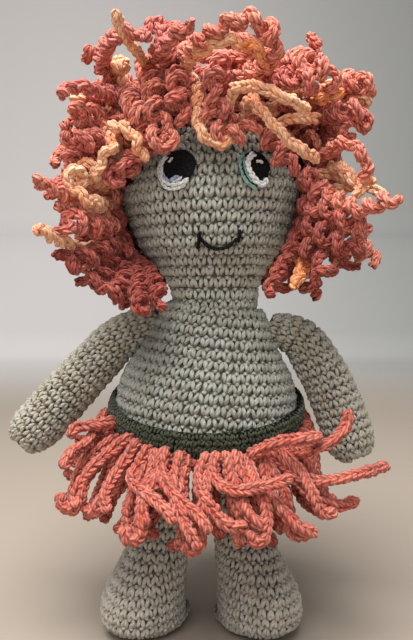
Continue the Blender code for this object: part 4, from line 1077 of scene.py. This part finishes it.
def hooked(path, radius, way, bend):
    """Path whose last stretch is bent round a small circle, so that the cord ends in a curl."""
    path = np.array(path)
    ahead = path[-1] - path[-2]
    ahead /= np.linalg.norm(ahead)
    side = np.cross(ahead, (0, 0, 1.0))
    side /= np.linalg.norm(side) + 1e-12
    toward = side * math.cos(way) + np.cross(side, ahead) * math.sin(way)
    turns = np.linspace(0, bend, 6)[1:, None]
    curl = path[-1] + ahead * np.sin(turns) * radius + toward * (1 - np.cos(turns)) * radius
    return np.concatenate([path, curl])


def make_skirt():
    """Groups of cords on their own length of hem cord; each cord springs from a small loop on the hem."""
    step = 2 * math.pi / (GROUPS * STRIPS)
    for group in range(GROUPS):
        skein = Skein()
        name = "fringe_%02d" % (group + 1)
        turns = np.linspace((group * STRIPS - 0.47) * step, ((group + 1) * STRIPS - 0.53) * step, 8)
        crochet_cord(skein, in_skirt(around_skirt([(a, HEM_RADIUS, HEM_HEIGHT) for a in turns])), HEM_CORD_RADIUS)
        for strip in range(STRIPS):
            index = group * STRIPS + strip
            out_share, drop_share = FRINGE_SHARES[index]
            sway = STRIP_SWAY * (1 if index % 2 else -1)
            spots = [(index * step - 0.012, HEM_RADIUS - 0.6 * MM, HEM_HEIGHT + 0.2 * MM),
                     (index * step, HEM_RADIUS + 1.0 * MM, HEM_HEIGHT + 1.6 * MM)]
            for t in np.linspace(0.12, 0.87, 8):
                ripple = 0.03 * math.sin(7 * t + index * 1.7)
                spots.append((index * step + sway * t * t + ripple * t,
                              HEM_RADIUS + STRIP_REACH * out_share * math.sin(t * math.pi / 2),
                              HEM_HEIGHT - STRIP_DROP * drop_share * t ** 1.5 + 1.5 * MM * (1 - t)))
            # The short cords at the sides and the back hardly curl
            bend = chance.uniform(1.5, 4.2) * (1 if out_share > 0.5 else 0.4)
            path = hooked(around_skirt(spots), chance.uniform(2.6, 4.2) * MM, chance.uniform(0, 2.6), bend)
            crochet_cord(skein, in_skirt(path), STRIP_RADIUS, roll=chance.uniform(-0.5, 0.5))
        skein.piece(name + "_cords", "skirt", *YARNS["skirt"], node=name)


UNDERSKIRT_CORDS = 46
UNDERSKIRT_STEPS = 16
# Under the left arm, which hangs close to the skirt, the cords leave it room to swing
LEFT_ARM_SINE = 0.84


def make_underskirt():
    """Cords between the frame's, packed side by side under the band, whose loose ends curl every way."""
    for i in range(UNDERSKIRT_CORDS):
        around = 2 * math.pi * (i + 0.5 + chance.uniform(-0.15, 0.15)) / UNDERSKIRT_CORDS
        length = chance.uniform(32, 44) * MM
        lean, rise = math.radians(chance.uniform(1, 9)), math.radians(chance.uniform(45, 130))
        swing = math.radians(chance.uniform(-75, 75))
        if math.sin(around) > LEFT_ARM_SINE:
            length, rise, swing = length * 0.75, rise * 0.4, swing * 0.5
        ripple, beat = math.radians(chance.uniform(10, 35)), chance.uniform(5, 9)
        spot = np.array((around, HEM_RADIUS - 0.2 * MM, HEM_HEIGHT + 0.4 * MM))
        spots = [spot]
        for t in np.linspace(0, 1, UNDERSKIRT_STEPS):
            tilt = lean + (rise - lean) * t ** 1.4 + ripple * math.sin(beat * t) * t
            side = swing * t * t
            way = (math.sin(tilt) * math.sin(side) / spot[1], math.sin(tilt) * math.cos(side), -math.cos(tilt))
            spot = spot + length / UNDERSKIRT_STEPS * np.array(way)
            spots.append(spot)
        # Every third cord takes the coral painted in shade, for depth between the cords
        make_cord("underskirt_cord_%02d" % (i + 1), in_skirt(around_skirt(spots)), "skirt" if i % 3 else "shaded_coral",
                  STRIP_RADIUS * chance.uniform(0.94, 1.04), "skirt", chance.uniform(-0.5, 0.5))

# Skirt cords that show one by one: pixel x, y and the distance from the doll's upright axis in mm
SKIRT_HEROES = {
    "one": ((164, 454, 49.5), (161, 467, 54), (166, 483, 60), (177, 498, 65), (193, 511, 69), (205, 524, 72),
            (208, 534, 73)),
    "two": ((180, 458, 49.5), (176, 472, 54), (174, 492, 62), (180, 514, 69), (190, 532, 73), (198, 550, 76)),
    "three": ((207, 460, 49.5), (200, 474, 54), (202, 494, 60), (214, 511, 66), (228, 525, 70), (247, 527, 72)),
    "four": ((216, 459, 49.5), (213, 473, 54), (222, 486, 59), (240, 491, 63), (262, 487, 66), (282, 482, 68),
             (292, 477, 69)),
    "five": ((236, 458, 49.5), (240, 472, 54), (250, 484, 58), (262, 500, 64)),
    "six": ((147, 452, 49.5), (138, 466, 54), (131, 477, 58), (139, 489, 63), (153, 498, 67), (166, 511, 71),
            (175, 524, 73)),
    "seven": ((128, 440, 49.5), (113, 450, 56), (95, 465, 64), (81, 483, 70), (75, 497, 73), (77, 508, 74)),
    "eight": ((112, 424, 49.5), (94, 425, 58), (76, 428, 66), (70, 436, 70)),
    "nine": ((252, 457, 49.5), (265, 447, 54), (284, 441, 60), (302, 439, 66), (322, 436, 70)),
    "ten": ((288, 452, 50), (304, 452, 60), (322, 446, 68), (336, 438, 72), (346, 426, 74), (349, 410, 74)),
    "eleven": ((272, 460, 50), (292, 472, 58), (312, 480, 66), (332, 480, 74), (356, 475, 80), (386, 466, 86)),
    "twelve": ((262, 464, 50), (266, 482, 56), (274, 500, 62), (287, 515, 68), (300, 528, 72), (316, 534, 74)),
    "thirteen": ((282, 462, 50), (300, 484, 60), (318, 500, 68), (340, 506, 74), (357, 500, 77)),
    "fourteen": ((226, 459, 49.5), (232, 478, 55), (242, 500, 62), (250, 516, 66), (264, 527, 69)),
    "fifteen": ((104, 416, 50), (90, 440, 60), (72, 452, 70), (62, 468, 76)),
    "sixteen": ((136, 446, 49.5), (124, 462, 55), (112, 480, 62), (104, 498, 68), (108, 512, 71)),
    "seventeen": ((154, 456, 49.5), (152, 474, 55), (144, 492, 62), (142, 512, 68), (146, 526, 71)),
}


def make_skirt_heroes():
    axis = (SKIRT_FRAME.to_translation().x, SKIRT_FRAME.to_translation().y, 0)
    for name, spots in SKIRT_HEROES.items():
        spine = [seen_round(px, py, reach * MM, axis, True) for px, py, reach in spots]
        back = spine[0] + np.array((0, 2.2, -1.0)) * MM
        lift = spine[0] + np.array((0, -0.6, 1.2)) * MM
        make_cord("fringe_cord_" + name, np.array([back, lift] + spine[1:]), "skirt", STRIP_RADIUS, "skirt")


# Face; the cheeks start below this height from the skull's middle
CHEEK_TOP = -20 * MM
EYE_SPREAD = math.radians(21.9)
EYE_RISE = 9.5 * MM
EYE_UNEVEN = 0.9 * MM
EYE_LIFT = 0.3 * MM
EYE_RADIUS = 7.2 * MM
EYE_HEIGHT = 1.9 * MM
EYE_DOME = ((1.0, 0.0), (1.0, 0.35), (0.93, 0.62), (0.75, 0.86), (0.45, 0.98), (0.1, 1.0))
EYE_ROUNDS = 5.6
EYE_CORD_RADIUS = 0.75 * MM
EYE_CORD_PITCH = 1.7 * MM


def on_face(azimuth, height, lift):
    """Point of the head at a height above its middle, and the way out of it there."""
    if height > CHEEK_TOP:
        tilt = math.asin(height / HEAD_RADIUS)
        radius = HEAD_RADIUS * math.cos(tilt)
    else:
        radius, low = (float(np.interp(down, -HEAD_LINE[:, 1], HEAD_LINE[:, 0])) for down in (-height, -height + MM))
        tilt = math.atan2(low - radius, MM)
    spot = np.array((radius * math.sin(azimuth), -radius * math.cos(azimuth), height))
    outward = direction(azimuth, tilt)
    return HEAD_SPIN @ (spot + outward * lift) + np.array(SKULL), HEAD_SPIN @ outward


# Chain stitches of each eye: name, node it replaces, colour, radius and pitch in mm, then how far left, up
# and out of the middle of the disc each point lies, in mm
EYE_THREADS = {
    "right": (
        ("right_eye_white_loops", "white", "white", 1.0, 2.6,
         ((-5.3, 4.9, 1.5), (-7.0, 3.3, 1.3), (-8.0, 0.8, 1.2), (-7.9, -2.2, 1.2), (-6.9, -5.2, 1.3),
          (-5.0, -7.5, 1.4), (-2.4, -8.3, 1.5), (0.6, -8.0, 1.6), (3.0, -7.3, 1.7), (4.6, -6.2, 1.9))),
        ("right_eye_white_rim", None, "white", 0.75, 2.2,
         ((-5.9, 5.4, 0.7), (-8.1, 3.6, 0.6), (-9.5, 0.4, 0.5), (-9.2, -3.0, 0.5), (-7.9, -6.4, 0.5),
          (-5.6, -9.0, 0.6), (-2.8, -9.9, 0.6), (0.4, -9.5, 0.7), (3.0, -8.4, 0.8))),
        ("right_eye_blue_loops", None, "pale_blue", 0.75, 2.4,
         ((-7.0, -3.2, 1.8), (-6.0, -4.8, 2.1), (-4.8, -6.2, 2.2), (-3.2, -6.6, 2.3), (-1.6, -5.6, 2.5),
          (-0.2, -5.3, 2.5), (1.2, -5.6, 2.4))),
        ("right_eye_low_end", None, "white", 0.5, 1.8,
         ((-2.6, -7.2, 2.1), (-0.4, -6.8, 2.3), (1.2, -6.2, 2.4), (1.9, -5.2, 2.4))),
        ("right_eye_glint_stitch", "glint", "white", 0.5, 1.6,
         ((-4.1, 1.8, 2.5), (-3.2, 2.8, 2.6), (-2.2, 3.9, 2.4))),
    ),
    "left": (
        ("left_eye_white_loops", "white", "white", 1.4, 2.7,
         ((-1.0, 5.8, 2.3), (-2.6, 4.6, 2.5), (-3.9, 2.6, 2.5), (-4.2, 0.4, 2.5), (-3.4, -2.2, 2.5),
          (-1.8, -4.6, 2.3), (0.4, -6.4, 2.0), (3.0, -7.2, 1.9), (4.8, -5.9, 2.1), (4.3, -4.4, 2.4))),
        ("left_eye_white_end", None, "white", 0.5, 1.6,
         ((1.4, -7.9, 1.6), (3.4, -8.2, 1.5), (5.4, -7.2, 1.6))),
        ("left_eye_aqua_loops", "aqua", "aqua", 0.75, 2.2,
         ((-6.0, 4.9, 1.5), (-7.0, 2.6, 1.4), (-7.2, -0.2, 1.3), (-6.4, -3.2, 1.2), (-4.8, -6.2, 1.1),
          (-2.2, -8.5, 1.0), (1.0, -9.3, 0.9))),
        ("left_eye_aqua_inner", None, "aqua", 0.5, 1.8,
         ((-5.4, 3.6, 2.0), (-5.8, 1.0, 2.0), (-5.2, -2.2, 2.0), (-3.8, -5.0, 1.9), (-1.6, -7.0, 1.7))),
        ("left_eye_glint_stitch", "glint", "white", 0.65, 2.0,
         ((0.0, 2.5, 2.4), (1.0, 2.6, 2.8), (2.2, 2.5, 2.8), (3.3, 2.2, 2.4))),
    ),
}
def make_eye(side, word):
    centre, outward = on_face(HEAD_TURN + side * EYE_SPREAD, EYE_RISE - side * EYE_UNEVEN, EYE_LIFT)
    right = np.cross(outward, np.cross((1.0, 0, 0), outward))
    right /= np.linalg.norm(right)
    up = np.cross(outward, right)
    up = up if up[2] > 0 else -up

    def spot(u, v, lift):
        return centre + right * u + up * v + outward * lift

    skein = Skein()
    dome = [[spot(EYE_RADIUS * share * math.cos(a), EYE_RADIUS * share * math.sin(a), EYE_HEIGHT * rise)
             for a in np.linspace(0, 2 * math.pi, 40, endpoint=False)] for share, rise in EYE_DOME]
    skein.shell(np.array(dome), 0, 0.3)
    turns = np.linspace(0, EYE_ROUNDS * 2 * math.pi, 260)
    ring = EYE_RADIUS * (1 - 0.92 * turns / turns[-1])
    rise = EYE_HEIGHT * np.interp(ring / EYE_RADIUS, (0, 0.45, 0.75, 0.93, 1), (1.0, 0.98, 0.86, 0.62, 0.35))
    path = np.array([spot(r * math.cos(a), r * math.sin(a), h) for r, a, h in zip(ring, turns, rise)])
    crochet_cord(skein, path, EYE_CORD_RADIUS, EYE_CORD_PITCH, outward, sides=5)
    skein.piece(word + "_eye_disc", "head", *YARNS["black"], node=word + "_eye_pupil")

    for name, node, colour, radius, pitch, spots in EYE_THREADS[word]:
        thread = Skein()
        points = np.array([spot(u * MM, v * MM, lift * MM) for u, v, lift in spots])
        crochet_cord(thread, points, radius * MM, pitch * MM, outward, wide=1.15)
        thread.piece(name, "head", *YARNS[colour], node=node and word + "_eye_" + node)

SMILE_HALF_WIDTH = 9.6 * MM
SMILE_DROP = 20.5 * MM
SMILE_DIP = 4.2 * MM
# Stitches at the smile's ends: x and z of the top and of the foot, in mm
TICKS = ((9.3, -17.4, 10.5, -22.4), (-9.2, -17.4, -12.0, -24.2))
SMILE_LIFT = 0.9 * MM
THREAD_RADIUS = 1.0 * MM
THREAD_PITCH = 2.2 * MM


def make_smile():
    skein = Skein()
    lines = [[(SMILE_HALF_WIDTH * x, -SMILE_DROP - SMILE_DIP * (1 - x * x)) for x in np.linspace(-1, 1, 13)]]
    for x_top, z_top, x_low, z_low in TICKS:
        lines.append([((x_top + (x_low - x_top) * t) * MM, (z_top + (z_low - z_top) * t) * MM)
                      for t in np.linspace(0, 1, 5)])
    for spots in lines:
        path = np.array([on_face(HEAD_TURN + x / HEAD_RADIUS, z, SMILE_LIFT)[0] for x, z in spots])
        crochet_cord(skein, path, THREAD_RADIUS, THREAD_PITCH)
    skein.piece("smile_thread", "head", *YARNS["black"], node="smile")


# How far each filling is drawn in from its solid, in mm
FILLINGS = (("head", 1.2), ("neck", 0.9), ("torso", 1.2), ("left_arm", 1.2), ("right_arm", 1.2), ("left_leg", 1.8),
            ("right_leg", 1.8))


def make_stuffing():
    """Fibre filling, seen only through an open stitch."""
    for part, sink in FILLINGS:
        node = part + "_stuffing"
        skein = Skein()
        skein.solid(node, sink * MM, 0.3 * MM, 0)
        skein.piece(node + "_fibre", frame["nodes"][node]["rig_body"], "fibre_stuffing", STUFFING_FIBRE,
                    node=node, fill=0.9)

def make_stage():
    """Pale floor that curves up into a backdrop."""
    profile = [(-1.2, 0.0), (0.9, 0.0), (1.15, 0.03), (1.35, 0.12), (1.5, 0.28), (1.55, 0.5), (1.55, 2.6)]
    line, _ = curve(profile, 0.05)
    mesh = bpy.data.meshes.new("studio_board")
    points = [(x, y, z) for y, z in line for x in (-3.0, 3.0)]
    faces = [(2 * i, 2 * i + 1, 2 * i + 3, 2 * i + 2) for i in range(len(line) - 1)]
    mesh.from_pydata(points, [], faces)
    mesh.shade_smooth()
    mesh.materials.append(matt_backdrop("pale_board", "#9C8F81", "#E2DCD8", "#A3A5A0"))
    board = bpy.data.objects.new("studio_board", mesh)
    bpy.context.scene.collection.objects.link(board)

# Lamps: name, place and size in metres, watts; they look at the doll's middle
LAMPS = (("key", (-0.2, -0.7, 0.95), 0.7, 6.2), ("fill", (0.05, -0.95, 0.16), 0.7, 1.5),
         ("top", (-0.1, -0.25, 1.1), 0.7, 20.0))
LAMP_AIM = Vector((0, 0, 0.17))


def make_light():
    world = bpy.data.worlds.new("studio")
    bpy.context.scene.world = world
    world.use_nodes = True
    join(world.node_tree, world.node_tree.nodes["Background"], {"Color": linear("#E9EDF2"), "Strength": 0.45})
    for name, spot, size, watts in LAMPS:
        lamp = bpy.data.lights.new(name, "AREA")
        lamp.size = size
        lamp.energy = watts
        item = bpy.data.objects.new(name, lamp)
        item.location = spot
        item.rotation_euler = (LAMP_AIM - Vector(spot)).to_track_quat("-Z", "Y").to_euler()
        bpy.context.scene.collection.objects.link(item)


def make_camera():
    lens = bpy.data.cameras.new("photographer")
    lens.lens = FOCAL_PX / PHOTO_HEIGHT * SENSOR_MM
    lens.sensor_width = SENSOR_MM
    lens.clip_start = 0.01
    item = bpy.data.objects.new("photographer", lens)
    item.location = CAMERA_SPOT
    item.rotation_euler = (math.pi / 2 - CAMERA_DIP, 0, 0)
    bpy.context.scene.collection.objects.link(item)
    bpy.context.scene.camera = item


make_camera()
make_light()
make_stage()
make_head()
make_torso()
for half, half_name in SIDES:
    make_leg(half, half_name)
    make_arm(half, half_name)
    make_shoulder_stitches(half, half_name)
make_stuffing()
make_cap()
make_locks()
make_fillers()
make_edge_curls()
make_heroes()
make_band()
make_skirt()
make_underskirt()
make_skirt_heroes()
for half, half_name in SIDES:
    make_eye(half, half_name)
make_smile()

bpy.context.scene.view_settings.view_transform = "Standard"
